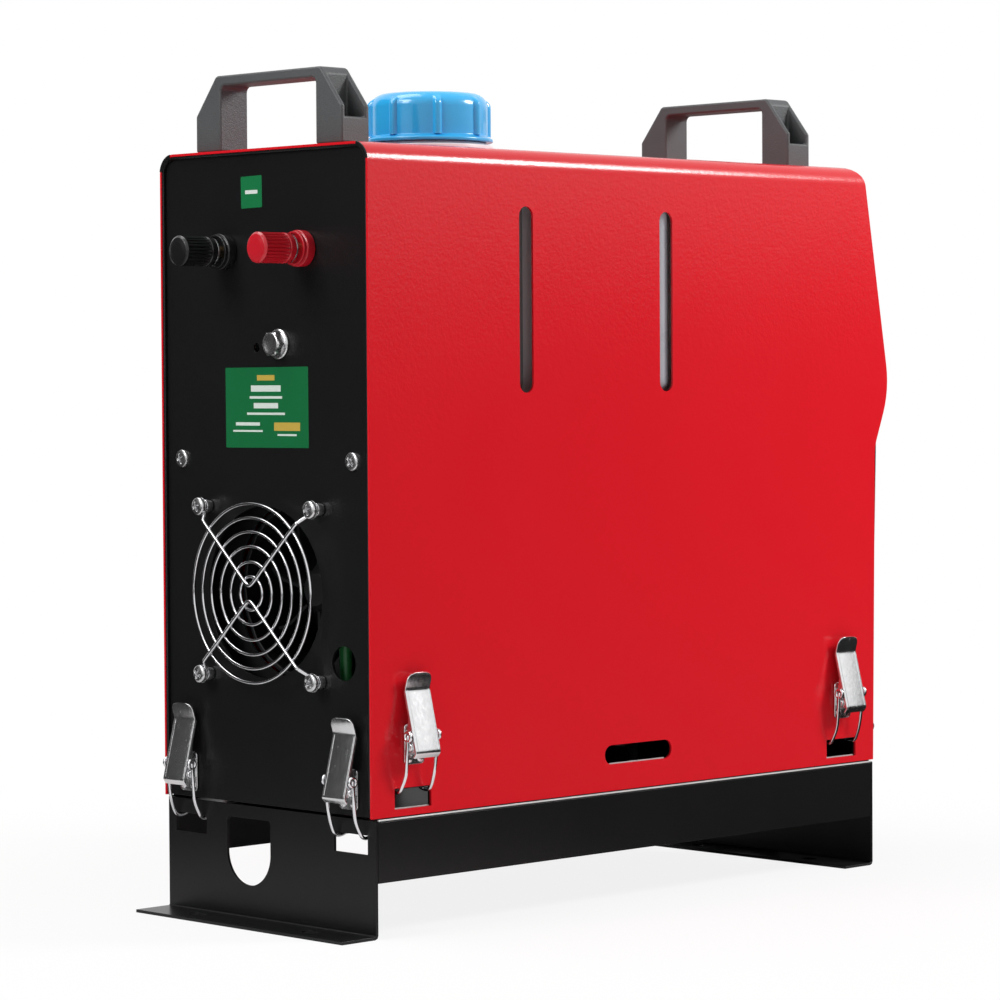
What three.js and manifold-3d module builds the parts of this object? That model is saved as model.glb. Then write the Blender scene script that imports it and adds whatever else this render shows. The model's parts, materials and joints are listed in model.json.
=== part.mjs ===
// Portable diesel air heater: a red folded cover over a black base, with the burner, fan, fuel tank
// and controls inside. Millimetres, +Z up. The inlet and terminals face -X, the warm air outlet and
// the display face +X. Sizes are set out from the back edge of the cover (x = 0), the middle plane
// (y = 0) and the floor (z = 0), and the finished group is then centred over its outer box.
import * as THREE from 'three';
import { mergeVertices } from 'three/addons/utils/BufferGeometryUtils.js';
import Module from 'manifold-3d';

const wasm = await Module();
wasm.setup();

// ---------------------------------------------------------------- driving dimensions, mm
const GAP = 0.3; // air between pieces that touch on the real heater
const RUN = 0.4; // running clearance round pieces that turn or slide
const SHEET = 1.5; // black sheet of the base, feet and panels
const COVER_SHEET = 1.2; // red sheet of the cover

const WIDTH = 153.5; // outside of the cover
const COVER_LENGTH = 366.5; // cover's lower edge, back to front
const COVER_HEIGHT = 319; // lower edge to top
const COVER_BEND = 9.5; // outside radius of the cover's long bends
const BASE_HEIGHT = 56.5; // floor to the ledge that carries the cover
const SEAM = 0.8; // shadow gap between ledge and cover
const SKIRT_DROP = 30; // ledge to the lower edge of the side skirts
const UPSTAND = 27.5; // base walls standing up behind the cover, above the ledge

const WAIST_RISE = 169.2; // front profile: lower edge to the waist under the nose
const WAIST_REACH = 2.1;
const WAIST_RADIUS = 20;
const NOSE_RISE = 199.7; // lower edge to the nose
const NOSE_REACH = 14.2;
const NOSE_RADIUS = 48;
const BROW_SETBACK = 6.9; // top edge behind the lower edge
const BROW_RADIUS = 11;
const WAIST_PROUD = 2.8; // how far the black front panel shows beyond the cover at the waist

const PANEL_INSET = 2; // back panel behind the cover's back edge
const PANEL_FLANGE = 10; // folded rims of both panels
const BACK_FOOT_INSET = 2.2; // foot plates behind the cover's end edges
const FRONT_FOOT_INSET = 0.4;
const FOOT_FLANGE = 21.5; // floor flange of each foot, plate face to rim
const FOOT_BEND = 2; // outside radius
const FOOT_HOLE_SPACING = 84; // floor screw slots
const FOOT_HOLE_RADIUS = 3;
const PIPE_SLOT_WIDTH = 32.5; // U slot for the exhaust and air pipes
const PIPE_SLOT_Y = 15.5;
const PIPE_SLOT_SILL = 17;
const PIPE_SLOT_TOP = 50;

const LEVEL_SLOT = { width: 9.5, height: 91, lift: 200, xs: [104.3, 204.2] }; // tank level slots
const SIDE_HOLE = { width: 49, height: 9.6, lift: 13.3, x: 182.3 }; // oblong hole low in the side

const WINDOW_WIDTH = 23.8; // latch windows
const WINDOW_HEIGHT = 9.3;
const END_WINDOW_TOP = 49; // window tops above the floor, end faces and sides
const SIDE_WINDOW_TOP = 70;
const END_LATCH_Y = 59.3; // latches from the middle plane, on the end faces
const SIDE_LATCH_X = 26.6; // latches from the cover's ends, on the sides

const HANDLE = {
  span: 107.6, height: 37, depth: 17.7, opening: 70.4, bar: 5, chamfer: [15.4, 19.3], wall: 2.4,
  endWall: 2.6, pocketSill: 12.5, pocketFloor: 4, pocketInner: 13, backX: 4.6, frontSetback: 24.6,
};

const GUARD = {
  y: 1.5, z: 161.2, radii: [8.1, 15.2, 22.7, 29.8, 36.6, 43.4], wire: 0.8, spoke: 0.95,
  screwSpacing: 82.5, standoff: 8.6, eyelet: 2.9, spacer: 4.2, spacerRadius: 3.4, apex: 2,
};
const INLET_RADIUS = 42; // air inlet in the back panel
const HOSE_HOLE = { y: -55.5, z: 129.6, radius: 8.4 };
const PANEL_HOLE = { y: 6.3, z: 280, radius: 2.4 }; // spare hole beside the earth bolt

const TERMINAL = {
  y: 29, z: 327, stud: 2.4, studLength: 24, baseRadius: 8.8, baseLength: 7, lipRadius: 8.2,
  insertRadius: 4.3,
  insertLength: 6, knobRadius: 7.4, knobLength: 20.5, standoff: 3.4, flutes: 12, fluteDepth: 0.5,
};

const TANK = {
  x0: 32, frontSetback: 48.5, y: 66, z0: 226.5, z1: 371.5, wall: 3, corner: 9, neckX: 112, neckOuter: 29,
  neckBore: 21, collar: 6.4, throat: 26.2,
  outletX: 12, outletY: -45, outletDrop: 8, outletRadius: 4.2, outletBore: 2.2,
};
const SHELF = {
  rim: 14, margin: 6, windowLength: 60, windowWidth: 80, windows: [0.36, 0.66], outletHole: 7,
};
const CAP = {
  radius: 29.6, ribReach: 1.9, ribWidth: 4.6, ribs: 8, height: 24.5, dome: 7, wall: 2.4, rim: 3,
};
const SEAL_THICKNESS = 2;

const CORE = {
  z: 161.2, radius: 57, wall: 2.5, x0: 24, frontSetback: 14.5,
  inlet: 44, outlet: 38, shoulder: 24, taper: 42, lip: 12,
  hatch: { length: 24, right: 30, left: 24 },
};
const FAN = { x: 33, radius: 38, hub: 14, length: 24, blades: 7, bladeThickness: 1.6, shaft: 3 };
const MOTOR = { radius: 31, gap: 6, length: 62.7 };
const EXCHANGER = {
  outletGap: 52, core: 36, fin: 51, fins: 12, finThickness: 2.8, headRadius: 30, head: 34,
};
const STUBS = { exhaust: 102, air: 72, y: 15.5, radius: 12, bore: 10, bottom: 44, shoe: 20 };
const PEDESTAL = { margin: 26, flange: 12, y: 46, top: 98 };
const PLUG = { setback: 12, radius: 5, length: 26, hex: 12 };
const PUMP = {
  x: 66, y: -50, z: 78, radius: 12, length: 62, spigot: 2.5, spigotLength: 12,
  saddle: 12, saddleLength: 15.5,
};
const HOSE_RADIUS = 3.3;
// x and z from the tank's outlet
const HOSE_DROP = [[0, 0], [0, -4], [-5, -12], [-17, -28], [-30, -58], [-31, -92]];
const HOSE_BEND = [[-29, -1, 22], [-18, -4, 3]]; // x and y from the outlet, z above the pump
const LINE_RADIUS = 2;
// share of the way to the pedestal, y and z from the pump
const LINE_CLIMB = [[0.43, -5, 5], [0.79, -6, 16]];

const VENT = {
  radius: 50, bore: 38.5, proud: 7, rise: 104, vanes: 5, vaneThickness: 1.6, ring: 3, sleeve: 14,
  louvreBack: 11,
  vaneTilt: 3.4, rib: 2,
};
const CONTROLLER = { width: 104, height: 62, proud: 4.2, depth: 17, rise: 61, lip: 3, corner: 5 };
const BUTTON = { radius: 5, proud: 1.6, depth: 6, pitch: 14.5, y: 37 };
const LCD = { width: 62, height: 38, y: -9, depth: 1 };

// Draw latch, in its own frame: x out of the face, y across, z up from the window's top edge.
const LATCH = {
  width: 16, sheet: 1, pivot: [6.8, 20.5], throw: 5, foldZ: 47.5, foldX: 3.6, footZ: 17.5, footX: 11.2,
  lip: [9.4, 15.2], tab: [5.9, 55.3], cheekMargin: 2.3, pin: 1.3, wire: 0.9, legOffset: 1.3,
  plateZ: [11.5, 41],
  plateWidth: 15, plateSheet: 1, ears: 11.4, tabChamfer: 3,
};

// ---------------------------------------------------------------- derived places
const HALF = WIDTH / 2;
const COVER_Z = BASE_HEIGHT + SEAM;
const TOP_Z = COVER_Z + COVER_HEIGHT;
const INNER_HALF = HALF - COVER_SHEET - GAP; // pieces that lie against the inside of the cover
const UPSTAND_TOP = BASE_HEIGHT + UPSTAND;
const BACK_PANEL_X = PANEL_INSET;
const PANEL_BOTTOM = COVER_Z + GAP;
const PANEL_TOP = TOP_Z - COVER_SHEET - GAP;
const PANEL_BEND = COVER_BEND - COVER_SHEET - GAP; // the panels' top corners nest in the cover's bends
const LATCH_XS = [SIDE_LATCH_X, COVER_LENGTH - SIDE_LATCH_X]; // along each side
const TANK_X1 = COVER_LENGTH - TANK.frontSetback;
const TANK_OUTLET = [TANK.x0 + TANK.outletX, TANK.outletY];
const HOSE_START = [...TANK_OUTLET, TANK.z0 - TANK.outletDrop - GAP]; // under the tank's outlet
const CORE_X1 = COVER_LENGTH - CORE.frontSetback;
const MOTOR_X = FAN.x + FAN.length + MOTOR.gap;
const MOTOR_X1 = MOTOR_X + MOTOR.length;
const BURNER_X = MOTOR_X1 + GAP + EXCHANGER.head; // where the burner's head meets its finned drum
const EXCHANGER_LENGTH = CORE_X1 - EXCHANGER.outletGap - BURNER_X; // the drum takes up a change of length
const EXHAUST_X = BURNER_X + STUBS.exhaust;
const AIR_X = BURNER_X + STUBS.air;
const PEDESTAL_XS = [AIR_X - PEDESTAL.margin, EXHAUST_X + PEDESTAL.margin];
const PLUG_X = BURNER_X - PLUG.setback;

// Front panel's outer face, seen from the side: lower rim, foot, waist, nose, brow, top rim.
const PANEL_WAIST = [COVER_LENGTH + WAIST_REACH + WAIST_PROUD, COVER_Z + WAIST_RISE + 6];
const PANEL_NOSE = [COVER_LENGTH + NOSE_REACH - 0.4, COVER_Z + NOSE_RISE];
const PANEL_BROW = [COVER_LENGTH - BROW_SETBACK - 0.2, PANEL_TOP];
const FRONT_FACE = [
  [COVER_LENGTH - PANEL_FLANGE, PANEL_BOTTOM], [COVER_LENGTH, PANEL_BOTTOM],
  PANEL_WAIST, PANEL_NOSE, PANEL_BROW,
  [PANEL_BROW[0] - PANEL_FLANGE, PANEL_TOP],
];
const OUTLET_LEAN = Math.atan2(PANEL_WAIST[0] - COVER_LENGTH, PANEL_WAIST[1] - PANEL_BOTTOM);
const DISPLAY_LEAN = Math.atan2(PANEL_NOSE[0] - PANEL_BROW[0], PANEL_BROW[1] - PANEL_NOSE[1]);

// ---------------------------------------------------------------- materials
const finish = (color, roughness, metalness) => new THREE.MeshStandardMaterial({
  color, roughness, metalness,
});
const RED_PAINT = finish(0xc8141f, 0.35, 0);
const BLACK_PAINT = finish(0x17181a, 0.5, 0);
const GREY_PLASTIC = finish(0x4b4c50, 0.6, 0);
const BLACK_PLASTIC = finish(0x1a1a1c, 0.55, 0);
const CHROME = finish(0xd9dbe0, 0.15, 1);
const ZINC = finish(0xb9bcc2, 0.3, 1);
const ALUMINIUM = finish(0xa9adb2, 0.45, 1);
const BRASS = finish(0xc9a552, 0.3, 1);
const TANK_PLASTIC = finish(0xe9e8e2, 0.5, 0);
const BLUE_PLASTIC = finish(0x1b93e8, 0.35, 0);
const RED_PLASTIC = finish(0xc01722, 0.35, 0);
const GREEN_RUBBER = finish(0x1d5a38, 0.6, 0);
const BLACK_RUBBER = finish(0x202020, 0.8, 0);
const NYLON = finish(0xd8d8d0, 0.5, 0);

// ---------------------------------------------------------------- solids
const ARC_STEPS = [ // facets in a quarter turn, for corners up to each radius
  { radius: 2.6, steps: 1 }, { radius: 6, steps: 4 }, { radius: 15, steps: 6 },
  { radius: Infinity, steps: 16 },
];
const TOLERANCE = 0.02; // chips smaller than this are merged after cuts and joins

function toSolid(geometry) {
  const bare = geometry.index ? geometry.toNonIndexed() : geometry.clone();
  bare.deleteAttribute('normal');
  bare.deleteAttribute('uv');
  const merged = mergeVertices(bare, 1e-4);
  const position = merged.attributes.position.array;
  const index = merged.index.array;
  const corners = [];
  let volume = 0;
  for (let i = 0; i < index.length; i += 3) {
    const [a, b, c] = [index[i], index[i + 1], index[i + 2]];
    if (a === b || b === c || c === a) continue;
    corners.push(a, b, c);
    const [p, q, r] = [a, b, c].map((k) => new THREE.Vector3().fromArray(position, k * 3));
    volume += p.dot(q.cross(r));
  }
  if (volume < 0) {
    for (let i = 0; i < corners.length; i += 3) {
      [corners[i], corners[i + 1]] = [corners[i + 1], corners[i]];
    }
  }
  return new wasm.Manifold(new wasm.Mesh({
    numProp: 3,
    vertProperties: new Float32Array(position),
    triVerts: new Uint32Array(corners),
  }));
}

function toGeometry(solid) {
  const mesh = solid.simplify(TOLERANCE).getMesh();
  const indexed = new THREE.BufferGeometry();
  indexed.setAttribute('position', new THREE.BufferAttribute(mesh.vertProperties, 3));
  indexed.setIndex(new THREE.BufferAttribute(mesh.triVerts, 1));
  const geometry = indexed.toNonIndexed();
  geometry.computeVertexNormals();
  return geometry;
}

const join = (...solids) => solids.flat().reduce((a, b) => a.add(b));
const cut = (solid, ...tools) => tools.flat().reduce((a, b) => a.subtract(b), solid);
const moved = (solid, x, y, z) => solid.translate([x, y, z]);
const mirroredY = (solid) => solid.mirror([0, 1, 0]);

// Rounds the corners of a line of [u, v] points, each to its own radius.
function roundedLine(points, radii, closed = false) {
  const line = [];
  points.forEach(([u, v], i) => {
    const radius = radii[i] ?? 0;
    const isEnd = !closed && (i === 0 || i === points.length - 1);
    if (isEnd || radius <= 0) {
      line.push([u, v]);
      return;
    }
    const corner = new THREE.Vector2(u, v);
    const before = points[(i + points.length - 1) % points.length];
    const back = new THREE.Vector2(...before).sub(corner).normalize();
    const on = new THREE.Vector2(...points[(i + 1) % points.length]).sub(corner).normalize();
    const half = Math.acos(THREE.MathUtils.clamp(back.dot(on), -1, 1)) / 2;
    const centre = back.clone().add(on).normalize().multiplyScalar(radius / Math.sin(half)).add(corner);
    const start = back.multiplyScalar(radius / Math.tan(half)).add(corner).sub(centre);
    const end = on.multiplyScalar(radius / Math.tan(half)).add(corner).sub(centre);
    const turn = Math.atan2(start.cross(end), start.dot(end));
    const quarter = ARC_STEPS.find((arc) => radius < arc.radius).steps;
    const steps = Math.max(1, Math.ceil((Math.abs(turn) / (Math.PI / 2)) * quarter));
    for (let k = 0; k <= steps; k += 1) {
      const p = start.clone().rotateAround(new THREE.Vector2(), (turn * k) / steps).add(centre);
      line.push([p.x, p.y]);
    }
  });
  return line;
}

// The same line moved sideways, to the left of its direction of travel.
function offsetLine(points, distance) {
  return points.map((point, i) => {
    const p = new THREE.Vector2(...point);
    const before = i > 0 ? p.clone().sub(new THREE.Vector2(...points[i - 1])).normalize() : null;
    const after = i < points.length - 1 ? new THREE.Vector2(...points[i + 1]).sub(p).normalize() : null;
    const a = before ?? after;
    const b = after ?? before;
    const normal = new THREE.Vector2(-a.y - b.y, a.x + b.x).normalize();
    const stretch = distance / normal.dot(new THREE.Vector2(-a.y, a.x));
    return [p.x + normal.x * stretch, p.y + normal.y * stretch];
  });
}

// Section of a folded sheet. The points and radii are those of one face, and the sheet lies to its left.
function foldedSheet(points, radii, thickness) {
  const inner = radii.map((radius, i) => {
    if (i === 0 || i === points.length - 1) return 0;
    const [a, b, c] = [points[i - 1], points[i], points[i + 1]].map((p) => new THREE.Vector2(...p));
    const turnsLeft = b.clone().sub(a).cross(c.clone().sub(b)) > 0;
    return Math.max(0.2, radius + (turnsLeft ? -thickness : thickness));
  });
  return [...roundedLine(points, radii), ...roundedLine(offsetLine(points, thickness), inner).reverse()];
}

function extrude(points, depth) {
  const shape = new THREE.Shape(points.map((p) => new THREE.Vector2(...p)));
  return new THREE.ExtrudeGeometry(shape, { depth, bevelEnabled: false, curveSegments: 1 });
}

// Prisms: the outline is in the two other axes, in X, Y, Z order.
function prismX(points, x0, x1) {
  const turn = new THREE.Matrix4().makeBasis(
    new THREE.Vector3(0, 1, 0), new THREE.Vector3(0, 0, 1), new THREE.Vector3(1, 0, 0));
  return toSolid(extrude(points, x1 - x0).applyMatrix4(turn).translate(x0, 0, 0));
}

function prismY(points, y0, y1) {
  const turn = new THREE.Matrix4().makeBasis(
    new THREE.Vector3(1, 0, 0), new THREE.Vector3(0, 0, 1), new THREE.Vector3(0, -1, 0));
  return toSolid(extrude(points, y1 - y0).applyMatrix4(turn).translate(0, y1, 0));
}

const prismZ = (points, z0, z1) => toSolid(extrude(points, z1 - z0).translate(0, 0, z0));

function box(x0, x1, y0, y1, z0, z1) {
  const geometry = new THREE.BoxGeometry(x1 - x0, y1 - y0, z1 - z0);
  return toSolid(geometry.translate((x0 + x1) / 2, (y0 + y1) / 2, (z0 + z1) / 2));
}

// A round bar between two points.
function rod(radius, from, to, sides = 20) {
  const a = new THREE.Vector3(...from);
  const b = new THREE.Vector3(...to);
  const along = b.clone().sub(a);
  const geometry = new THREE.CylinderGeometry(radius, radius, along.length(), sides);
  const up = new THREE.Vector3(0, 1, 0);
  const turn = new THREE.Quaternion().setFromUnitVectors(up, along.clone().normalize());
  const middle = a.clone().add(b).multiplyScalar(0.5);
  return toSolid(geometry.applyQuaternion(turn).translate(middle.x, middle.y, middle.z));
}

// A turned piece: [radius, height] points, closed or from axis to axis, turned about Z or about X.
function turned(points, sides = 32) {
  const profile = points.map(([radius, height]) => new THREE.Vector2(radius, height));
  return toSolid(new THREE.LatheGeometry(profile, sides).rotateX(Math.PI / 2));
}

const turnedX = (points, sides = 32) => turned(points, sides).rotate([0, 90, 0]);

function circle(radius, sides) {
  return Array.from({ length: sides }, (_, i) => {
    const angle = (2 * Math.PI * i) / sides;
    return [radius * Math.cos(angle), radius * Math.sin(angle)];
  });
}

// A smooth curve whose sections stand at its own points, so that straight runs stay straight.
class WireCurve extends THREE.CatmullRomCurve3 {
  getPointAt(u, target) {
    return this.getPoint(u, target);
  }

  getTangentAt(u, target) {
    return this.getTangent(u, target);
  }
}

// A wire or hose through the points, with a number of sections between one point and the next.
function wireAlong(points, radius, { sides = 6, between = 1, tension = 0.5 } = {}) {
  const path = new WireCurve(points.map((p) => new THREE.Vector3(...p)), false, 'catmullrom', tension);
  const shape = new THREE.Shape(circle(radius, sides).map((p) => new THREE.Vector2(...p)));
  const steps = (points.length - 1) * between;
  return toSolid(new THREE.ExtrudeGeometry(shape, { steps, extrudePath: path, bevelEnabled: false }));
}

// Outlines centred on a point.
function roundedRectangle(u, v, width, height, radius) {
  const [a, b] = [width / 2, height / 2];
  const corners = [[u - a, v - b], [u + a, v - b], [u + a, v + b], [u - a, v + b]];
  return roundedLine(corners, [radius, radius, radius, radius], true);
}

const slotOutline = (u, v, width, height) => roundedRectangle(
  u, v, width, height, Math.min(width, height) / 2 - 0.01);

// ---------------------------------------------------------------- assembly
const heater = new THREE.Group();

function place(name, solid, material, parent = heater) {
  const mesh = new THREE.Mesh(toGeometry(solid), material);
  mesh.name = name;
  parent.add(mesh);
  return mesh;
}

// ---------------------------------------------------------------- base and feet
const sideWindow = (centreX) => [centreX, SIDE_WINDOW_TOP - WINDOW_HEIGHT / 2];
const levelSlotZ = COVER_Z + LEVEL_SLOT.lift + LEVEL_SLOT.height / 2;
const sideHoleZ = COVER_Z + SIDE_HOLE.lift + SIDE_HOLE.height / 2;

function baseTray() {
  const skirtZ = BASE_HEIGHT - SKIRT_DROP;
  const deckTop = BASE_HEIGHT - SHEET;
  const deckBottom = deckTop - SHEET;
  const right = [
    [INNER_HALF - SHEET, deckTop], [INNER_HALF - SHEET, UPSTAND_TOP], [INNER_HALF, UPSTAND_TOP],
    [INNER_HALF, BASE_HEIGHT], [HALF, BASE_HEIGHT], [HALF, skirtZ], [HALF - SHEET, skirtZ],
    [HALF - SHEET, deckBottom],
  ];
  const radii = [0.6, 0, 0, 0, COVER_SHEET, 0, 0, 0.6];
  const left = right.map(([y, z]) => [-y, z]).reverse();
  const section = roundedLine([...right, ...left], [...radii, ...radii.slice().reverse()], true);
  const x0 = BACK_FOOT_INSET + SHEET + GAP;
  const x1 = COVER_LENGTH - FRONT_FOOT_INSET - SHEET - GAP;
  const shell = prismX(section, x0, x1);

  const [hatX0, hatX1] = PEDESTAL_XS;
  const hat = foldedSheet(
    [[hatX1 + PEDESTAL.flange, deckTop], [hatX1, deckTop], [hatX1, PEDESTAL.top],
      [hatX0, PEDESTAL.top], [hatX0, deckTop], [hatX0 - PEDESTAL.flange, deckTop]],
    [0, 2, 3, 3, 2, 0], SHEET);
  const pedestal = prismY(hat, -PEDESTAL.y, PEDESTAL.y);
  const stubHoles = [EXHAUST_X, AIR_X].map((x) => rod(
    STUBS.radius + 1, [x, STUBS.y, deckBottom - 1], [x, STUBS.y, PEDESTAL.top + 1], 12));
  const hooks = LATCH_XS.map((x) => {
    const [u, v] = sideWindow(x);
    return prismY(roundedRectangle(u, v - 0.4, WINDOW_WIDTH + 0.8, WINDOW_HEIGHT + 0.8, 0), -HALF, HALF);
  });
  const cableHole = prismY(
    slotOutline(SIDE_HOLE.x, sideHoleZ, SIDE_HOLE.width + 2, SIDE_HOLE.height + 2), -HALF, HALF);
  return cut(join(shell, pedestal), stubHoles, hooks, cableHole);
}

// Both feet are the same pressing, with the floor flange towards the back.
function foot(plateX) {
  const back = plateX + SHEET;
  const section = foldedSheet([[plateX - FOOT_FLANGE, 0], [back, 0], [back, BASE_HEIGHT - GAP]],
    [0, FOOT_BEND, 0], SHEET);
  const pipeSlotHeight = PIPE_SLOT_TOP - PIPE_SLOT_SILL;
  const pipeRadius = PIPE_SLOT_WIDTH / 2 - 0.01;
  const pipeSlot = roundedLine(
    [[PIPE_SLOT_Y - PIPE_SLOT_WIDTH / 2, PIPE_SLOT_SILL],
      [PIPE_SLOT_Y + PIPE_SLOT_WIDTH / 2, PIPE_SLOT_SILL],
      [PIPE_SLOT_Y + PIPE_SLOT_WIDTH / 2, PIPE_SLOT_SILL + pipeSlotHeight],
      [PIPE_SLOT_Y - PIPE_SLOT_WIDTH / 2, PIPE_SLOT_SILL + pipeSlotHeight]],
    [pipeRadius, pipeRadius, 2, 2], true);
  const windows = [-END_LATCH_Y, END_LATCH_Y].map((y) => prismX(
    roundedRectangle(y, END_WINDOW_TOP - WINDOW_HEIGHT / 2, WINDOW_WIDTH, WINDOW_HEIGHT, 0),
    plateX - 1, back + 1));
  const floorSlots = [-1, 1].map((side) => prismZ(
    slotOutline(
      plateX - FOOT_FLANGE / 2, (side * FOOT_HOLE_SPACING) / 2, FOOT_HOLE_RADIUS * 2, FOOT_HOLE_RADIUS * 3),
    -1, SHEET + 1));
  return cut(prismY(section, -HALF, HALF), prismX(pipeSlot, plateX - 1, back + 1), windows, floorSlots);
}

// ---------------------------------------------------------------- cover and panels
const frontEdge = [
  [COVER_LENGTH, COVER_Z], [COVER_LENGTH + WAIST_REACH, COVER_Z + WAIST_RISE],
  [COVER_LENGTH + NOSE_REACH, COVER_Z + NOSE_RISE], [COVER_LENGTH - BROW_SETBACK, TOP_Z],
];
const frontEdgeRadii = [0, WAIST_RADIUS, NOSE_RADIUS, BROW_RADIUS];

function cover() {
  const section = foldedSheet([[HALF, COVER_Z], [HALF, TOP_Z], [-HALF, TOP_Z], [-HALF, COVER_Z]],
    [0, COVER_BEND, COVER_BEND, 0], COVER_SHEET);
  const sideView = roundedLine([...frontEdge, [0, TOP_Z], [0, COVER_Z]], [...frontEdgeRadii, 0, 0], true);
  const sheet = prismX(section, -1, COVER_LENGTH + NOSE_REACH + 1)
    .intersect(prismY(sideView, -HALF - 1, HALF + 1));
  const through = (outline) => prismY(outline, -HALF - 1, HALF + 1);
  const slots = LEVEL_SLOT.xs.map((x) => through(
    slotOutline(x, levelSlotZ, LEVEL_SLOT.width, LEVEL_SLOT.height)));
  const windows = LATCH_XS.map((x) => {
    const [u, v] = sideWindow(x);
    return through(roundedRectangle(u, v + 0.3, WINDOW_WIDTH, WINDOW_HEIGHT + 0.6, 0));
  });
  const oblong = through(slotOutline(SIDE_HOLE.x, sideHoleZ, SIDE_HOLE.width, SIDE_HOLE.height));
  const neckHole = rod(TANK.neckOuter + 1.2, [TANK.neckX, 0, TOP_Z - 20], [TANK.neckX, 0, TOP_Z + 1], 32);
  return cut(sheet, slots, windows, oblong, neckHole);
}

// Both panels fill the cover's ends: square below, nested in its bends above.
function panelOutline(inset) {
  const half = INNER_HALF - inset;
  const bend = PANEL_BEND - inset;
  const top = PANEL_TOP - inset;
  return roundedLine(
    [[-half, PANEL_BOTTOM], [half, PANEL_BOTTOM], [half, top], [-half, top]], [0, 0, bend, bend], true);
}

function backPanel() {
  const tray = prismX(panelOutline(0), BACK_PANEL_X, BACK_PANEL_X + PANEL_FLANGE);
  const hollow = prismX(panelOutline(SHEET), BACK_PANEL_X + SHEET, BACK_PANEL_X + PANEL_FLANGE + 1);
  const footClear = box(
    BACK_PANEL_X + SHEET, BACK_PANEL_X + PANEL_FLANGE + 1, -HALF, HALF, 0, UPSTAND_TOP + 1);
  const bottomRim = box(
    BACK_PANEL_X, BACK_PANEL_X + PANEL_FLANGE, -INNER_HALF + SHEET + 1, INNER_HALF - SHEET - 1,
    PANEL_BOTTOM, PANEL_BOTTOM + SHEET);
  const through = (outlinePoints) => prismX(outlinePoints, BACK_PANEL_X - 1, BACK_PANEL_X + SHEET + 1);
  const at = (points, y, z) => points.map(([u, v]) => [u + y, v + z]);
  const holes = [
    through(at(circle(INLET_RADIUS, 36), GUARD.y, GUARD.z)),
    through(at(circle(HOSE_HOLE.radius, 18), HOSE_HOLE.y, HOSE_HOLE.z)),
    through(at(circle(PANEL_HOLE.radius, 10), PANEL_HOLE.y, PANEL_HOLE.z)),
    through(at(circle(TERMINAL.stud + 1, 10), TERMINAL.y, TERMINAL.z)),
    through(at(circle(TERMINAL.stud + 1, 10), -TERMINAL.y, TERMINAL.z)),
  ];
  return cut(join(cut(tray, hollow, footClear), bottomRim), holes);
}

// Frames on the two front faces: x out of the face, z up along it, from the face's lower corner.
function faceGroup(x, z, lean) {
  const group = new THREE.Group();
  group.position.set(x, 0, z);
  group.rotation.y = lean;
  heater.add(group);
  return group;
}

function onFace(solid, group) {
  return solid.rotate([0, THREE.MathUtils.radToDeg(group.rotation.y), 0])
    .translate([group.position.x, group.position.y, group.position.z]);
}

const displayFace = faceGroup(PANEL_NOSE[0], PANEL_NOSE[1], -DISPLAY_LEAN);
const outletFace = faceGroup(COVER_LENGTH, PANEL_BOTTOM, OUTLET_LEAN);

function frontPanel() {
  const radii = [0, 2, WAIST_RADIUS, NOSE_RADIUS, BROW_RADIUS - 1.5, 0];
  const face = prismY(foldedSheet(FRONT_FACE, radii, SHEET), -INNER_HALF, INNER_HALF);
  const rimShape = foldedSheet(FRONT_FACE.slice(1, 5), [0, WAIST_RADIUS, NOSE_RADIUS, 0], PANEL_FLANGE);
  const rim = prismY(rimShape, INNER_HALF - SHEET, INNER_HALF);
  const rims = [rim, mirroredY(rim)];
  const lowRims = box(0, COVER_LENGTH - SHEET, -HALF, HALF, 0, UPSTAND_TOP + 1);
  const trimmed = cut(join(rims), lowRims);
  const lowerRim = box(0, COVER_LENGTH - SHEET - 0.5, -HALF, HALF, 0, PANEL_BOTTOM + SHEET + 1);
  const sideNotches = [-1, 1].map((side) => {
    const y = [side * (INNER_HALF - SHEET - 1), side * HALF].sort((a, b) => a - b);
    return lowerRim.intersect(box(0, COVER_LENGTH, y[0], y[1], 0, TOP_Z));
  });
  const withinCover = prismX(panelOutline(0), 0, COVER_LENGTH + NOSE_REACH + 1);
  const display = onFace(prismX(
    roundedRectangle(0, CONTROLLER.rise, CONTROLLER.width - CONTROLLER.lip * 2 + GAP * 2,
      CONTROLLER.height - CONTROLLER.lip * 2 + GAP * 2, 2), -20, 20), displayFace);
  const ventHole = circle(VENT.bore + VENT.ring + GAP, 40).map(([u, v]) => [u, v + VENT.rise]);
  const vent = onFace(prismX(ventHole, -20, 20), outletFace);
  return cut(join(face, trimmed), sideNotches, display, vent).intersect(withinCover);
}

// ---------------------------------------------------------------- handles
function handle() {
  const h = HANDLE;
  const half = h.span / 2;
  const outline = [[-half, 0], [half, 0], [half, h.height - h.chamfer[1]], [half - h.chamfer[0], h.height],
    [-half + h.chamfer[0], h.height], [-half, h.height - h.chamfer[1]]];
  const body = prismX(roundedLine(outline, [0, 0, 1, 2, 2, 1], true), 0, h.depth);
  const gripHole = prismX(roundedLine(
    [[-h.opening / 2, -1], [h.opening / 2, -1],
      [h.opening / 2, h.height - h.bar], [-h.opening / 2, h.height - h.bar]],
    [0, 0, 3, 3], true), -1, h.depth + 1);
  const pocket = prismX([
    [half + 1, h.pocketSill], [half + 1, h.height + 1], [half - h.pocketInner + 0.4, h.height + 1],
    [half - h.pocketInner, h.height - 9], [half - h.pocketInner, h.pocketFloor],
    [half - h.endWall, h.pocketFloor], [half - h.endWall, h.pocketSill],
  ], h.wall, h.depth - h.wall);
  const dome = prismY([[-1, h.height - 0.1], [h.depth + 1, h.height - 0.1], [h.depth + 1, h.height + 9],
    [-1, h.height + 9]], -half, half);
  return cut(body, gripHole, pocket, mirroredY(pocket), dome);
}

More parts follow.
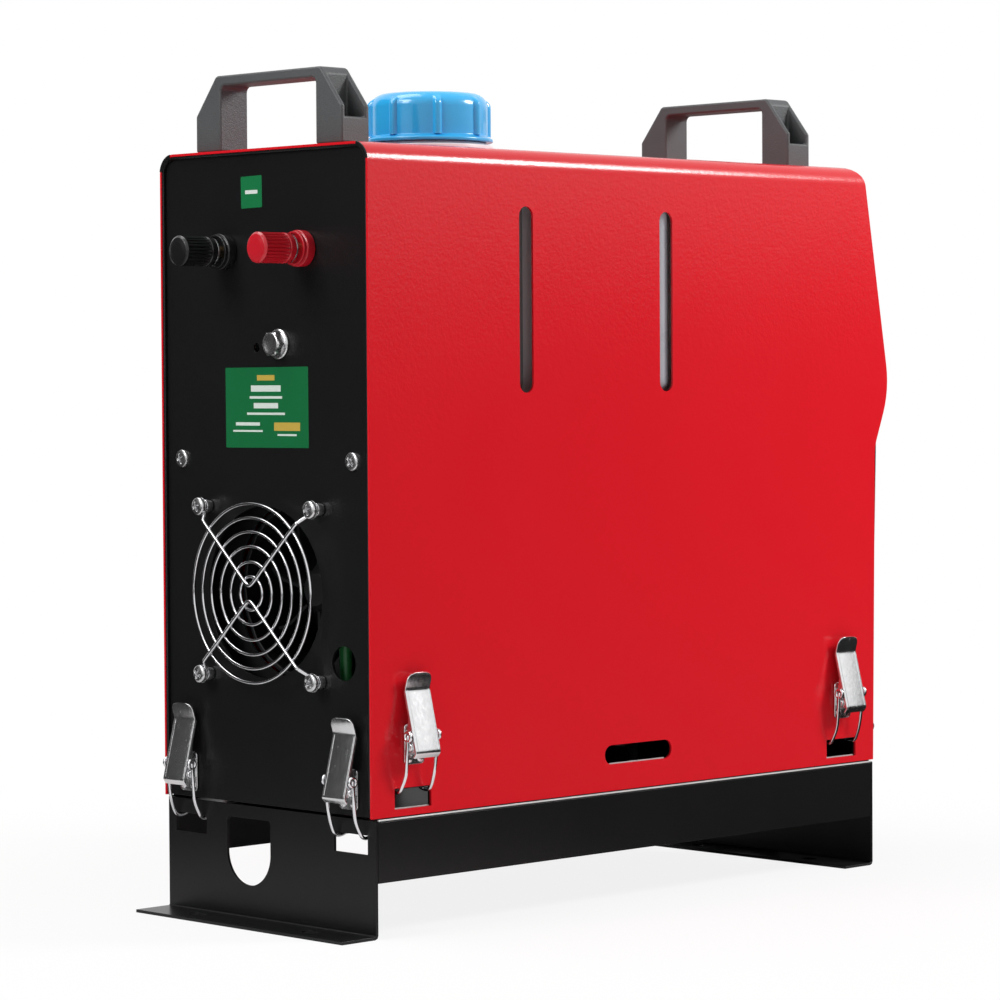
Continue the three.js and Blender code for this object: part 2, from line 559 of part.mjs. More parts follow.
// ---------------------------------------------------------------- wire fan guard
function fanGuard() {
  const g = GUARD;
  const ringX = -g.standoff;
  const spokeX = ringX - g.wire - g.spoke + 0.35;
  const half = g.screwSpacing / 2;
  const rings = g.radii.map((radius) => {
    const steps = 11 + Math.round(radius / 3.2);
    const ring = new THREE.TorusGeometry(radius, g.wire, 4, steps);
    return toSolid(ring.rotateY(Math.PI / 2).translate(ringX, 0, 0));
  });
  const low = -g.spacer - g.spoke - GAP;
  const reach = half - g.eyelet * Math.SQRT1_2;
  const spokes = [1, -1].map((side) => {
    const corner = (s, inward) => [s * (reach - inward), side * (reach - inward)];
    const point = (x, [y, z]) => [x, y, z];
    const route = [
      point(low, corner(1, 0)), point(low - 0.6, corner(1, 1.4)), point(spokeX + 0.8, corner(1, 4.2)),
      point(spokeX, corner(1, 6)), point(spokeX, [7, side * (7 + g.apex)]),
      point(spokeX, [2.4, side * (2.9 + g.apex)]),
      point(spokeX, [0, side * (1.9 + g.apex)]), point(spokeX, [-2.4, side * (2.9 + g.apex)]),
      point(spokeX, [-7, side * (7 + g.apex)]),
      point(spokeX, corner(-1, 6)), point(spokeX + 0.8, corner(-1, 4.2)), point(low - 0.6, corner(-1, 1.4)),
      point(low, corner(-1, 0)),
    ];
    return wireAlong(route, g.spoke, { sides: 4, tension: 0.2 });
  });
  const corners = [[1, 1], [1, -1], [-1, 1], [-1, -1]].map((signs) => signs.map((sign) => sign * half));
  const eyelets = corners.map(([y, z]) => toSolid(
    new THREE.TorusGeometry(g.eyelet, g.spoke, 4, 8).rotateY(Math.PI / 2).translate(low, y, z)));
  const spacers = corners.map(([y, z]) => rod(g.spacerRadius, [low, y, z], [-GAP, y, z], 12));
  return moved(join(rings, spokes, eyelets, spacers), BACK_PANEL_X, g.y, g.z);
}

// ---------------------------------------------------------------- terminals
// Each post stands on the back panel, its axis along -X.
function terminalBase() {
  const t = TERMINAL;
  const bore = t.stud + GAP;
  return turned([[bore, GAP], [t.baseRadius, GAP], [t.baseRadius, t.baseLength - 2.2],
    [t.lipRadius, t.baseLength - 1.8], [t.lipRadius, t.baseLength], [bore, t.baseLength], [bore, GAP]], 16);
}

function terminalStud() {
  const t = TERMINAL;
  const nut = prismZ(circle(5, 6), -(SHEET + GAP + 4), -(SHEET + GAP));
  return join(rod(t.stud, [0, 0, -12], [0, 0, t.studLength], 12), nut);
}

// The metal thread insert of the knob: a shouldered bush with its flange at the knob's mouth.
function terminalInsert() {
  const t = TERMINAL;
  const bore = t.stud + RUN;
  return turned([[bore, 0], [t.insertRadius + 1.6, 0], [t.insertRadius + 1.6, 1], [t.insertRadius, 1.4],
    [t.insertRadius, t.insertLength], [bore, t.insertLength], [bore, 0]], 12);
}

function terminalKnob() {
  const t = TERMINAL;
  const flutes = Array.from({ length: t.flutes * 2 }, (_, i) => {
    const angle = (Math.PI * i) / t.flutes;
    const radius = t.knobRadius - (i % 2 ? t.fluteDepth : 0);
    return [radius * Math.cos(angle), radius * Math.sin(angle)];
  });
  const envelope = turned([
    [0, 0], [t.knobRadius - 0.8, 0], [t.knobRadius, 0.8], [t.knobRadius, t.knobLength - 1.4],
    [t.knobRadius - 1.4, t.knobLength], [0, t.knobLength]], 24);
  const body = prismZ(flutes, 0, t.knobLength).intersect(envelope);
  const bore = turned([[0, -1], [t.insertRadius + 1.6 + RUN, -1], [t.insertRadius + 1.6 + RUN, 1 + GAP],
    [t.insertRadius + RUN, 1.4 + GAP], [t.insertRadius + RUN, t.insertLength + GAP],
    [t.stud + RUN, t.insertLength + GAP], [t.stud + RUN, t.knobLength - 2], [0, t.knobLength - 2]], 12);
  return cut(body, bore);
}

function terminal(colour, y, plastic) {
  const t = TERMINAL;
  const post = new THREE.Group();
  post.position.set(BACK_PANEL_X, y, t.z);
  post.rotation.y = -Math.PI / 2;
  heater.add(post);
  place(`${colour}_terminal_base`, terminalBase(), plastic, post);
  place(`${colour}_terminal_stud`, terminalStud(), BRASS, post);
  const mouth = t.baseLength + t.standoff;
  place(`${colour}_terminal_insert`, moved(terminalInsert(), 0, 0, mouth), ZINC, post);
  place(`${colour}_terminal_knob`, moved(terminalKnob(), 0, 0, mouth), plastic, post);
}

// ---------------------------------------------------------------- tank and cap
const neckTop = TOP_Z + TANK.collar + CAP.height - CAP.wall - SEAL_THICKNESS - GAP * 2;

function fuelTank() {
  const t = TANK;
  const middleX = (t.x0 + TANK_X1) / 2;
  const middleZ = (t.z0 + t.z1) / 2;
  const block = (inset) => {
    const [length, width, height] = [TANK_X1 - t.x0 - inset * 2, (t.y - inset) * 2, t.z1 - t.z0 - inset * 2];
    const corner = t.corner - inset;
    const plan = roundedRectangle(middleX, 0, length, width, corner);
    const side = roundedRectangle(middleX, middleZ, length, height, corner);
    const end = roundedRectangle(0, middleZ, width, height, corner);
    return prismZ(plan, t.z0 + inset, t.z1 - inset).intersect(prismY(side, -width / 2, width / 2))
      .intersect(prismX(end, t.x0 + inset, TANK_X1 - inset));
  };
  const collarTop = TOP_Z + t.collar;
  const neck = turned([[0, t.z1 - t.wall], [t.neckOuter, t.z1 - t.wall], [t.neckOuter, collarTop],
    [t.throat, collarTop], [t.throat, neckTop], [0, neckTop]], 26);
  const bore = rod(t.neckBore, [0, 0, t.z1 - t.wall * 2], [0, 0, neckTop + 1], 24);
  const outletEnd = t.z0 - t.outletDrop;
  const outlet = rod(t.outletRadius, [...TANK_OUTLET, outletEnd], [...TANK_OUTLET, t.z0 + t.wall], 12);
  const outletBore = rod(
    t.outletBore, [...TANK_OUTLET, outletEnd - 1], [...TANK_OUTLET, t.z0 + t.wall * 2], 8);
  const shell = join(cut(block(0), block(t.wall)), moved(neck, t.neckX, 0, 0), outlet);
  return cut(shell, moved(bore, t.neckX, 0, 0), outletBore);
}

// Shelf under the tank, its side flanges against the cover.
function tankShelf() {
  const top = TANK.z0 - GAP;
  const rim = top + SHELF.rim;
  const section = foldedSheet([[-INNER_HALF, rim], [-INNER_HALF, top - SHEET], [INNER_HALF, top - SHEET],
    [INNER_HALF, rim]], [0, 2, 2, 0], SHEET);
  const outletHole = rod(SHELF.outletHole, [...TANK_OUTLET, top - SHEET - 1], [...TANK_OUTLET, top + 1], 10);
  const windows = SHELF.windows.map((part) => {
    const x = TANK.x0 + (TANK_X1 - TANK.x0) * part;
    return box(
      x - SHELF.windowLength / 2, x + SHELF.windowLength / 2, -SHELF.windowWidth / 2, SHELF.windowWidth / 2,
      top - SHEET - 1, top + 1);
  });
  return cut(prismX(section, TANK.x0 - SHELF.margin, TANK_X1 + SHELF.margin), outletHole, windows);
}

function fuelCap() {
  const c = CAP;
  const bottom = TOP_Z + TANK.collar + GAP;
  const outside = roundedLine([[0, 0], [c.radius + 1.2, 0], [c.radius + 1.2, c.rim], [c.radius, c.rim + 0.8],
    [c.radius, c.height], [0, c.height]], [0, 0.6, 0.6, 0, c.dome, 0]);
  const skin = turned(outside, 24);
  const ribTop = c.height - c.rim;
  const ribEnvelope = turned(roundedLine(
    [[0, 0], [c.radius + c.ribReach, 0], [c.radius + c.ribReach, ribTop], [c.radius - c.rim, ribTop],
      [0, ribTop]],
    [0, 0, 2.5, 0, 0]), 24);
  const ribs = Array.from({ length: c.ribs }, (_, i) => box(
    c.radius - 3, c.radius + c.ribReach + 2, -c.ribWidth / 2, c.ribWidth / 2, 0.5, c.height)
    .rotate([0, 0, 10 + (360 * i) / c.ribs]));
  const bore = turned(
    [[0, -1], [TANK.throat + RUN, -1], [TANK.throat + RUN, c.height - c.wall], [0, c.height - c.wall]], 24);
  return moved(cut(join(skin, join(ribs).intersect(ribEnvelope)), bore), TANK.neckX, 0, bottom);
}

function capSeal() {
  const bottom = neckTop + GAP;
  const ring = [[TANK.neckBore + 1, 0], [TANK.throat - 0.6, 0], [TANK.throat - 0.6, SEAL_THICKNESS - GAP],
    [TANK.neckBore + 1, SEAL_THICKNESS - GAP], [TANK.neckBore + 1, 0]];
  return moved(turned(ring, 18), TANK.neckX, 0, bottom);
}

// ---------------------------------------------------------------- heater core
function heaterCasing() {
  const c = CORE;
  const outline = (inset) => [
    [c.inlet - inset, c.x0], [c.radius - inset, c.x0 + c.shoulder], [c.radius - inset, CORE_X1 - c.taper],
    [c.outlet - inset, CORE_X1 - c.lip], [c.outlet - inset, CORE_X1],
  ];
  const shell = turnedX([...outline(0), ...outline(c.wall).reverse(), outline(0)[0]], 20);
  const hatch = box(
    AIR_X - c.hatch.length, EXHAUST_X + c.hatch.length, -c.hatch.right, STUBS.y + c.hatch.left,
    -c.radius - 5, -c.radius * 0.55);
  return moved(cut(shell, hatch), 0, 0, c.z);
}

function heatExchanger() {
  const e = EXCHANGER;
  const finned = Array.from({ length: e.fins }, (_, i) => box(
    BURNER_X, BURNER_X + EXCHANGER_LENGTH, -e.finThickness / 2, e.finThickness / 2, e.core - 3, e.fin)
    .rotate([(360 * (i + 0.5)) / e.fins, 0, 0]));
  const [drumBack, drumFront] = [BURNER_X - e.head, BURNER_X + EXCHANGER_LENGTH];
  const drum = turnedX([
    [0, drumBack], [e.headRadius, drumBack], [e.headRadius, BURNER_X - 4], [e.core, BURNER_X],
    [e.core, drumFront - 6], [e.core - 14, drumFront + 8], [0, drumFront + 8]], 16);
  const shoe = box(AIR_X - STUBS.shoe, EXHAUST_X + STUBS.shoe, STUBS.y - STUBS.shoe, STUBS.y + STUBS.shoe,
    PEDESTAL.top + GAP - CORE.z, -e.core + 6);
  const stub = (x) => rod(STUBS.radius, [x, STUBS.y, STUBS.bottom - CORE.z], [x, STUBS.y, -e.core + 4], 14);
  const bore = (x) => rod(
    STUBS.bore, [x, STUBS.y, STUBS.bottom - 1 - CORE.z], [x, STUBS.y, -e.core - 4], 14);
  const xs = [EXHAUST_X, AIR_X];
  const plugWell = rod(PLUG.radius + GAP, [PLUG_X, 0, e.headRadius - 9], [PLUG_X, 0, e.headRadius + 2], 12);
  return moved(cut(join(drum, finned, shoe, xs.map(stub)), xs.map(bore), plugWell), 0, 0, CORE.z);
}

function fanMotor() {
  const [x0, x1] = [MOTOR_X, MOTOR_X1];
  const shaft = rod(FAN.shaft, [FAN.x + 4, 0, 0], [x0 + 2, 0, 0], 12);
  const can = turnedX([[0, x0], [MOTOR.radius - 5, x0], [MOTOR.radius, x0 + 5], [MOTOR.radius, x1 - 4],
    [MOTOR.radius - 4, x1], [0, x1]], 20);
  return moved(join(shaft, can), 0, 0, CORE.z);
}

function fanImpeller() {
  const f = FAN;
  const hub = turnedX([[0, f.x], [f.hub - 6, f.x], [f.hub, f.x + 7], [f.radius - 6, f.x + f.length - 2],
    [f.radius - 6, f.x + f.length], [0, f.x + f.length]], 20);
  const envelope = turnedX([[0, f.x + 1], [f.radius - 3, f.x + 1], [f.radius, f.x + f.length - 6],
    [f.radius, f.x + f.length - 2], [0, f.x + f.length - 2]], 20);
  const blade = (angle) => {
    const lead = [f.hub - 3, 0];
    const trail = [f.radius + 1, 13];
    const middle = [(lead[0] + trail[0]) / 2 + 3, 4];
    const outline = foldedSheet([lead, middle, trail], [0, 24, 0], f.bladeThickness);
    return prismX(outline, f.x + 1, f.x + f.length - 1).rotate([angle, 0, 0]);
  };
  const blades = Array.from({ length: f.blades }, (_, i) => blade((360 * i) / f.blades).intersect(envelope));
  const bore = rod(f.shaft + RUN, [f.x + 3, 0, 0], [f.x + f.length + 1, 0, 0], 12);
  return moved(cut(join(hub, blades), bore), 0, 0, CORE.z);
}

function glowPlug() {
  const z0 = CORE.z + EXCHANGER.headRadius - 8;
  return join(
    rod(PLUG.radius, [PLUG_X, 0, z0], [PLUG_X, 0, z0 + PLUG.hex], 12),
    rod(PLUG.radius - 2, [PLUG_X, 0, z0 + PLUG.hex - 1], [PLUG_X, 0, z0 + PLUG.length - 2], 10));
}

// ---------------------------------------------------------------- fuel system
function fuelPump() {
  const p = PUMP;
  const body = turnedX([
    [0, 0], [p.radius - 3, 0], [p.radius - 3, 6], [p.radius, 8], [p.radius, p.length - 8],
    [p.radius - 3, p.length - 6], [p.radius - 3, p.length], [0, p.length]], 16);
  const spigots = rod(p.spigot, [-p.spigotLength, 0, 0], [p.length + p.spigotLength, 0, 0], 10);
  const saddle = box(
    (p.length - p.saddleLength) / 2, (p.length + p.saddleLength) / 2, -p.saddle / 2, p.saddle / 2,
    BASE_HEIGHT - SHEET + GAP - p.z, 3 - p.radius);
  return moved(join(body, spigots, saddle), p.x, p.y, p.z);
}

// Feed hose: tank outlet, down behind the back panel past the hose hole, then to the pump.
function fuelHose() {
  const [x, y, z] = HOSE_START;
  const route = [
    ...HOSE_DROP.map(([dx, dz]) => [x + dx, y, z + dz]),
    ...HOSE_BEND.map(([dx, dy, dz]) => [x + dx, y + dy, PUMP.z + dz]),
    [PUMP.x - PUMP.spigotLength - 5, PUMP.y, PUMP.z], [PUMP.x - PUMP.spigotLength - GAP, PUMP.y, PUMP.z],
  ];
  return wireAlong(route, HOSE_RADIUS, { sides: 8, between: 2 });
}

// Thin line from the pump, past the pedestal and over it to the foot of the burner.
function deliveryLine() {
  const start = PUMP.x + PUMP.length + PUMP.spigotLength + GAP;
  const over = PEDESTAL.top + LINE_RADIUS * 2;
  const end = AIR_X - 2;
  const shoeSide = STUBS.y - STUBS.shoe - GAP;
  const climb = LINE_CLIMB.map(([share, dy, dz]) => [
    start + (PEDESTAL_XS[0] - start) * share, PUMP.y + dy, PUMP.z + dz]);
  const route = [
    [start, PUMP.y, PUMP.z], [start + 6, PUMP.y, PUMP.z], ...climb, [PEDESTAL_XS[0] + 5, PUMP.y, over],
    [end - 7, shoeSide - 33, over], [end - 1, shoeSide - 21, over],
    [end, shoeSide - 5, over], [end, shoeSide, over],
  ];
  return wireAlong(route, LINE_RADIUS, { sides: 6, between: 2 });
}

// ---------------------------------------------------------------- front: outlet and controller
function outletBezel() {
  const v = VENT;
  return moved(turnedX([
    [v.bore, -v.sleeve], [v.bore + v.ring, -v.sleeve], [v.bore + v.ring, GAP], [v.radius, GAP],
    [v.radius, v.proud - 4], [v.radius - 4, v.proud], [v.bore + v.ring, v.proud],
    [v.bore, v.proud - 2], [v.bore, -v.sleeve]], 32), 0, 0, v.rise);
}

// The louvre is a ring with slanting vanes. It turns in the bezel to steer the air.
function outletLouvre() {
  const v = VENT;
  const radius = v.bore - RUN;
  const x0 = -v.louvreBack;
  const x1 = v.proud - 3;
  const ring = turnedX(
    [[radius - v.ring, x0], [radius, x0], [radius, x1], [radius - v.ring, x1], [radius - v.ring, x0]], 32);
  const pitch = (2 * radius) / (v.vanes + 1);
  const vanes = Array.from({ length: v.vanes }, (_, i) => {
    const z = -radius + pitch * (i + 1);
    const reach = Math.sqrt(radius ** 2 - z ** 2) - 1;
    return prismY([
      [x0 + 2, z + v.vaneTilt], [x1 - 1, z - v.vaneTilt], [x1 - 1, z - v.vaneTilt + v.vaneThickness],
      [x0 + 2, z + v.vaneTilt + v.vaneThickness]], -reach, reach);
  });
  const rib = box(x0 + 3, x1 - 2, -v.rib / 2, v.rib / 2, -radius + 1, radius - 1);
  const disc = rod(radius - 0.5, [x0 - 1, 0, 0], [x1 + 1, 0, 0], 24);
  return moved(join(ring, join(vanes, rib).intersect(disc)), 0, 0, v.rise);
}

function controllerBody() {
  const c = CONTROLLER;
  const bezel = prismX(roundedRectangle(0, c.rise, c.width, c.height, c.corner), GAP, c.proud);
  const back = prismX(
    roundedRectangle(0, c.rise, c.width - c.lip * 2, c.height - c.lip * 2, 1.5), -c.depth, GAP + 0.1);
  const screen = prismX(
    roundedRectangle(LCD.y, c.rise, LCD.width, LCD.height, 2), c.proud - LCD.depth, c.proud + 1);
  const wells = buttonPlaces().map(([y, z]) => rod(BUTTON.radius + GAP, [c.proud - BUTTON.depth - 1.4, y, z],
    [c.proud + 1, y, z], 14));
  return cut(join(bezel, back), screen, wells);
}

function buttonPlaces() {
  return [1.5, 0.5, -0.5, -1.5].map((row) => [BUTTON.y, CONTROLLER.rise + row * BUTTON.pitch * 0.96]);
}

function button([y, z]) {
  const c = CONTROLLER;
  const profile = [[0, -BUTTON.depth], [BUTTON.radius, -BUTTON.depth], [BUTTON.radius, BUTTON.proud - 0.8],
    [BUTTON.radius - 0.9, BUTTON.proud], [0, BUTTON.proud]];
  return moved(turnedX(profile, 12), c.proud, y, z);
}

// ---------------------------------------------------------------- draw latches
// The lever turns on the bracket's pin, and the wire bail hangs from the lever a short throw above
// that pin. Closed, the bail's pull passes inside the pin, so the latch holds itself shut.
function latchBracket() {
  const l = LATCH;
  const [px, pz] = l.pivot;
  const plate = prismX(roundedLine([[-l.plateWidth / 2, l.plateZ[0]], [l.plateWidth / 2, l.plateZ[0]],
    [l.plateWidth / 2, l.plateZ[1]], [-l.plateWidth / 2, l.plateZ[1]]], [2, 2, 2, 2], true),
  GAP, GAP + l.plateSheet);
  const earShape = roundedLine([
    [GAP, pz - 1.8], [px + 0.6, pz - 1.8], [px + 1.6, pz + 1.4], [px - 1, pz + 2],
    [GAP, pz + 9]], [0, 1.6, 1.4, 2, 0], true);
  const ears = [-1, 1].map((side) => {
    const y = [side * (l.ears / 2), side * (l.ears / 2 - l.plateSheet)].sort((a, b) => a - b);
    return prismY(earShape, y[0], y[1]);
  });
  const pin = rod(l.pin, [px, -l.width / 2 - 0.5, pz], [px, l.width / 2 + 0.5, pz], 6);
  return join(plate, ears, pin);
}

function latchLever() {
  const l = LATCH;
  const [px, pz] = l.pivot;
  const side = foldedSheet([l.lip, [l.footX, l.footZ], [l.foldX, l.foldZ], l.tab], [0, 1.6, 2, 0], l.sheet);
  const plate = prismY(side, -l.width / 2, l.width / 2);
  const foldClip = prismX([[-l.width / 2 - 1, l.tab[1] + 1], [-l.width / 2 - 1, l.tab[1] - l.tabChamfer],
    [-l.width / 2 + l.tabChamfer, l.tab[1] + 1]], 0, l.footX + 2);
  const slope = (l.foldX - l.footX) / (l.foldZ - l.footZ);
  const plateX = (z) => l.footX + slope * (z - l.footZ) - 0.5;
  const m = l.cheekMargin;
  const cheekTop = pz + l.throw + m + 9;
  const cheekShape = roundedLine([[px - m, pz - m], [plateX(pz - m), pz - m], [plateX(cheekTop), cheekTop],
    [px - m, pz + l.throw + m]], [1.8, 0, 0, 1.8], true);
  const cheeks = [-1, 1].map((s) => {
    const y = [s * (l.width / 2), s * (l.width / 2 - l.sheet)].sort((a, b) => a - b);
    return prismY(cheekShape, y[0], y[1]);
  });
  const across = [-l.width / 2 - 1, l.width / 2 + 1];
  const pinHole = rod(l.pin + 0.25, [px, across[0], pz], [px, across[1], pz], 6);
  const bailHole = rod(l.wire + 0.25, [px, across[0], pz + l.throw], [px, across[1], pz + l.throw], 6);
  return cut(join(plate, cheeks), foldClip, mirroredY(foldClip), pinHole, bailHole);
}

function latchBail() {
  const l = LATCH;
  const [px, pz] = l.pivot;
  const top = pz + l.throw;
  const inside = l.ears / 2 + GAP * 2;
  const legs = l.width / 2 + l.legOffset;
  const spread = WINDOW_WIDTH / 2 - l.wire - 1.4;
  const half = [
    [px, inside, top], [px, legs - 0.7, top], [px - 0.1, legs, top - 0.9], [px - 0.6, legs + 0.2, top - 9],
    [px - 1.9, spread - 0.4, top - 18], [px - 4.4, spread, top - 24.4], [px - 6.2, spread, top - 26.5],
    [px - 8.6, spread, top - 27], [px - 11.4, spread - 0.4, top - 26.2],
    [px - 12.8, spread - 2.2, top - 24.6]];
  const bar = half.map(([x, y, z]) => [x, -y, z]).reverse();
  return wireAlong([...half, ...bar], l.wire, { sides: 4, tension: 0.35 });
}

// Latches stand at a point on a face, turned to look along its outward normal.
function latch(name, x, y, z, turn, lean = 0) {
  const group = new THREE.Group();
  group.position.set(x, y, z);
  group.rotation.set(0, lean, turn, 'ZYX');
  heater.add(group);
  place(`${name}_bracket`, latchBracket(), ZINC, group);
  place(`${name}_lever`, latchLever(), ZINC, group);
  place(`${name}_bail`, latchBail(), ZINC, group);
}

// ---------------------------------------------------------------- building it all
place('base_tray', baseTray(), BLACK_PAINT);
place('back_foot', foot(BACK_FOOT_INSET), BLACK_PAINT);
place('front_foot', foot(COVER_LENGTH - FRONT_FOOT_INSET - SHEET), BLACK_PAINT);
place('cover', cover(), RED_PAINT);
place('back_panel', backPanel(), BLACK_PAINT);
place('front_panel', frontPanel(), BLACK_PAINT);
place('handle_back', moved(handle(), HANDLE.backX, 0, TOP_Z + GAP), GREY_PLASTIC);
const frontHandleX = COVER_LENGTH - HANDLE.frontSetback - HANDLE.depth;
place('handle_front', moved(handle(), frontHandleX, 0, TOP_Z + GAP), GREY_PLASTIC);
place('fan_guard', fanGuard(), CHROME);
terminal('black', TERMINAL.y, BLACK_PLASTIC);
terminal('red', -TERMINAL.y, RED_PLASTIC);
place('fuel_tank', fuelTank(), TANK_PLASTIC);
place('tank_shelf', tankShelf(), BLACK_PAINT);
place('cap_seal', capSeal(), BLACK_RUBBER);
place('fuel_cap', fuelCap(), BLUE_PLASTIC);
place('heater_casing', heaterCasing(), BLACK_PLASTIC);
place('heat_exchanger', heatExchanger(), ALUMINIUM);
place('fan_motor', fanMotor(), ZINC);
place('fan_impeller', fanImpeller(), BLACK_PLASTIC);
place('glow_plug', glowPlug(), BRASS);
place('fuel_pump', fuelPump(), ZINC);
place('fuel_hose', fuelHose(), GREEN_RUBBER);
place('delivery_line', deliveryLine(), NYLON);
place('outlet_bezel', outletBezel(), BLACK_PLASTIC, outletFace);
place('outlet_louvre', outletLouvre(), BLACK_PLASTIC, outletFace);
place('controller_body', controllerBody(), BLACK_PLASTIC, displayFace);
buttonPlaces().forEach((spot, i) => place(`button_${i + 1}`, button(spot), GREY_PLASTIC, displayFace));

// The front latches lean with the outlet face, whose plane is drawn on down to the windows.
const frontFootX = COVER_LENGTH - (PANEL_BOTTOM - END_WINDOW_TOP) * Math.tan(OUTLET_LEAN);
for (const [side, sign] of [['right', -1], ['left', 1]]) {
  latch(`back_latch_${side}`, BACK_PANEL_X, sign * END_LATCH_Y, END_WINDOW_TOP, Math.PI);
  latch(`front_latch_${side}`, frontFootX, sign * END_LATCH_Y, END_WINDOW_TOP, 0, OUTLET_LEAN);
  LATCH_XS.forEach((x, i) => latch(
    `${side}_latch_${i ? 'front' : 'back'}`, x, sign * HALF, SIDE_WINDOW_TOP, (sign * Math.PI) / 2));
}

// Centre the group over its outer box: from the tips of the terminals to the nose.
heater.updateMatrixWorld(true);
const outer = new THREE.Box3().setFromObject(heater);
heater.position.x = -(outer.min.x + outer.max.x) / 2;

export default heater;
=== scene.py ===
"""Portable diesel air heater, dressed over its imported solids.

Lengths in the tables are millimetres in the workshop frame of the heater: x from the back edge of
the cover towards the outlet, y from the middle plane, z from the floor. Row millimetres are the
same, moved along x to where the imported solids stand. Meshes, lamps and cards are in metres.
"""
import json
import math
from types import SimpleNamespace as Sizes

import bmesh
import bpy
import numpy as np
from mathutils import Matrix, Vector

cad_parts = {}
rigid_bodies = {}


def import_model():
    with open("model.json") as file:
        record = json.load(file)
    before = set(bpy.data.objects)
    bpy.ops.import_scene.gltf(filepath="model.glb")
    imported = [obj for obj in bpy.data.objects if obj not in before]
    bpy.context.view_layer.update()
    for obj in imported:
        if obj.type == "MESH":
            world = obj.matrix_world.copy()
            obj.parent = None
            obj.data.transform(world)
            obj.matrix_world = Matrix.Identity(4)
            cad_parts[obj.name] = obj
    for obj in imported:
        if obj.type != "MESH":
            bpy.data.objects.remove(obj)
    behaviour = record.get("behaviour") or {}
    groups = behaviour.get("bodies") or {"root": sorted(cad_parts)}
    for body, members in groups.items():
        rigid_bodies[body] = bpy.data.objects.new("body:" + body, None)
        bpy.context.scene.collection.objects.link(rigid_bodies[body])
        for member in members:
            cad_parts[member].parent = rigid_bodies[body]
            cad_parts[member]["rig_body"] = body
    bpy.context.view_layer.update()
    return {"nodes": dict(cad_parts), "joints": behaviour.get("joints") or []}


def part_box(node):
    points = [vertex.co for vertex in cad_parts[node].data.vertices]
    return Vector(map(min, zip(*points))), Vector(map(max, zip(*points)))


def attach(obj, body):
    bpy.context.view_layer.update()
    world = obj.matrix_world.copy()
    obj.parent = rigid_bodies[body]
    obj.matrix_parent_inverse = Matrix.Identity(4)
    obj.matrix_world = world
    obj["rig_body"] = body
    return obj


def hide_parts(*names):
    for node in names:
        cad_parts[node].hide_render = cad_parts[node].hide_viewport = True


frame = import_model()
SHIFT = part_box("cover")[0].x * 1000  # row x of the cover's back edge
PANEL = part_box("back_panel")[0].x * 1000 - SHIFT  # outer face of the back panel
TAU = 2 * math.pi
X, Y, Z = np.eye(3)
BACKWARDS = -X  # the way the back panel faces


# ---- camera
CAMERA = Sizes(place=(-1148.6, -1339.7, 265.3), yaw=44.337, pitch=-1.942, roll=-0.332,
               lens=130.99, sensor=36.0, near=0.05, far=60.0)


def set_camera():
    """Looks along (sin yaw cos pitch, cos yaw cos pitch, sin pitch), turned by roll about it."""
    yaw, pitch, roll = (math.radians(a) for a in (CAMERA.yaw, CAMERA.pitch, CAMERA.roll))
    ahead = Vector((math.sin(yaw) * math.cos(pitch), math.cos(yaw) * math.cos(pitch), math.sin(pitch)))
    right = Vector((math.cos(yaw), -math.sin(yaw), 0))
    up = right.cross(ahead)
    right, up = (right * math.cos(roll) + up * math.sin(roll),
                 up * math.cos(roll) - right * math.sin(roll))
    x, y, z = CAMERA.place
    data = bpy.data.cameras.new("camera")
    data.sensor_fit = "HORIZONTAL"
    data.sensor_width = CAMERA.sensor
    data.lens = CAMERA.lens
    data.clip_start, data.clip_end = CAMERA.near, CAMERA.far
    camera = bpy.data.objects.new("camera", data)
    turn = Matrix((right, up, -ahead)).transposed().to_4x4()
    camera.matrix_world = Matrix.Translation(Vector((x + SHIFT, y, z)) / 1000) @ turn
    bpy.context.scene.collection.objects.link(camera)
    bpy.context.scene.camera = camera


# ---- points and places
def unit(v):
    v = np.asarray(v, float)
    return v / np.linalg.norm(v, axis=-1, keepdims=True)


def stacked(x, y, z):
    """Points from three coordinates, each an array or one value for all."""
    return np.stack(np.broadcast_arrays(x, y, z), -1)


def shop(points):
    """Workshop millimetres to row millimetres."""
    return np.asarray(points, float) + np.array([SHIFT, 0.0, 0.0])


def placing(origin, first, second, third):
    """Function that puts (a, b, c) at origin + a * first + b * second + c * third."""
    def at(a, b, c):
        a, b, c = np.broadcast_arrays(a, b, c)
        return origin + a[..., None] * first + b[..., None] * second + c[..., None] * third
    return at


def through(points, per):
    """Smooth line through points: Catmull-Rom, p(t) = the cubic whose slope at each point is half
    the difference of its neighbours."""
    p = np.asarray(points, float)
    q = np.concatenate([2 * p[:1] - p[1:2], p, 2 * p[-1:] - p[-2:-1]])
    a, b, c, d = (q[i:len(q) - 3 + i, None] for i in range(4))
    t = (np.arange(per) / per)[None, :, None]
    line = 0.5 * (2 * b + (c - a) * t + (2 * a - 5 * b + 4 * c - d) * t ** 2
                  + (3 * b - a - 3 * c + d) * t ** 3)
    return np.concatenate([line.reshape(-1, p.shape[1]), p[-1:]])


def rounded(points, radii, per=5, closed=True):
    """Outline with each corner replaced by an arc: centre at r / sin(half angle) along the bisector."""
    p = np.asarray(points, float)
    out = []
    for i, corner in enumerate(p):
        radius = radii[i] if np.ndim(radii) else radii
        if radius <= 0 or (not closed and i in (0, len(p) - 1)):
            out.append(corner[None])
            continue
        back, on = unit(p[i - 1] - corner), unit(p[(i + 1) % len(p)] - corner)
        half = math.acos(max(-1.0, min(1.0, float(back @ on)))) / 2
        centre = corner + unit(back + on) * radius / math.sin(half)
        start = corner + back * radius / math.tan(half) - centre
        a = np.linspace(0, math.pi - 2 * half, per + 1)[:, None]
        out.append(centre + radius * (np.cos(a) * unit(start) - np.sin(a) * back))
    return np.concatenate(out)


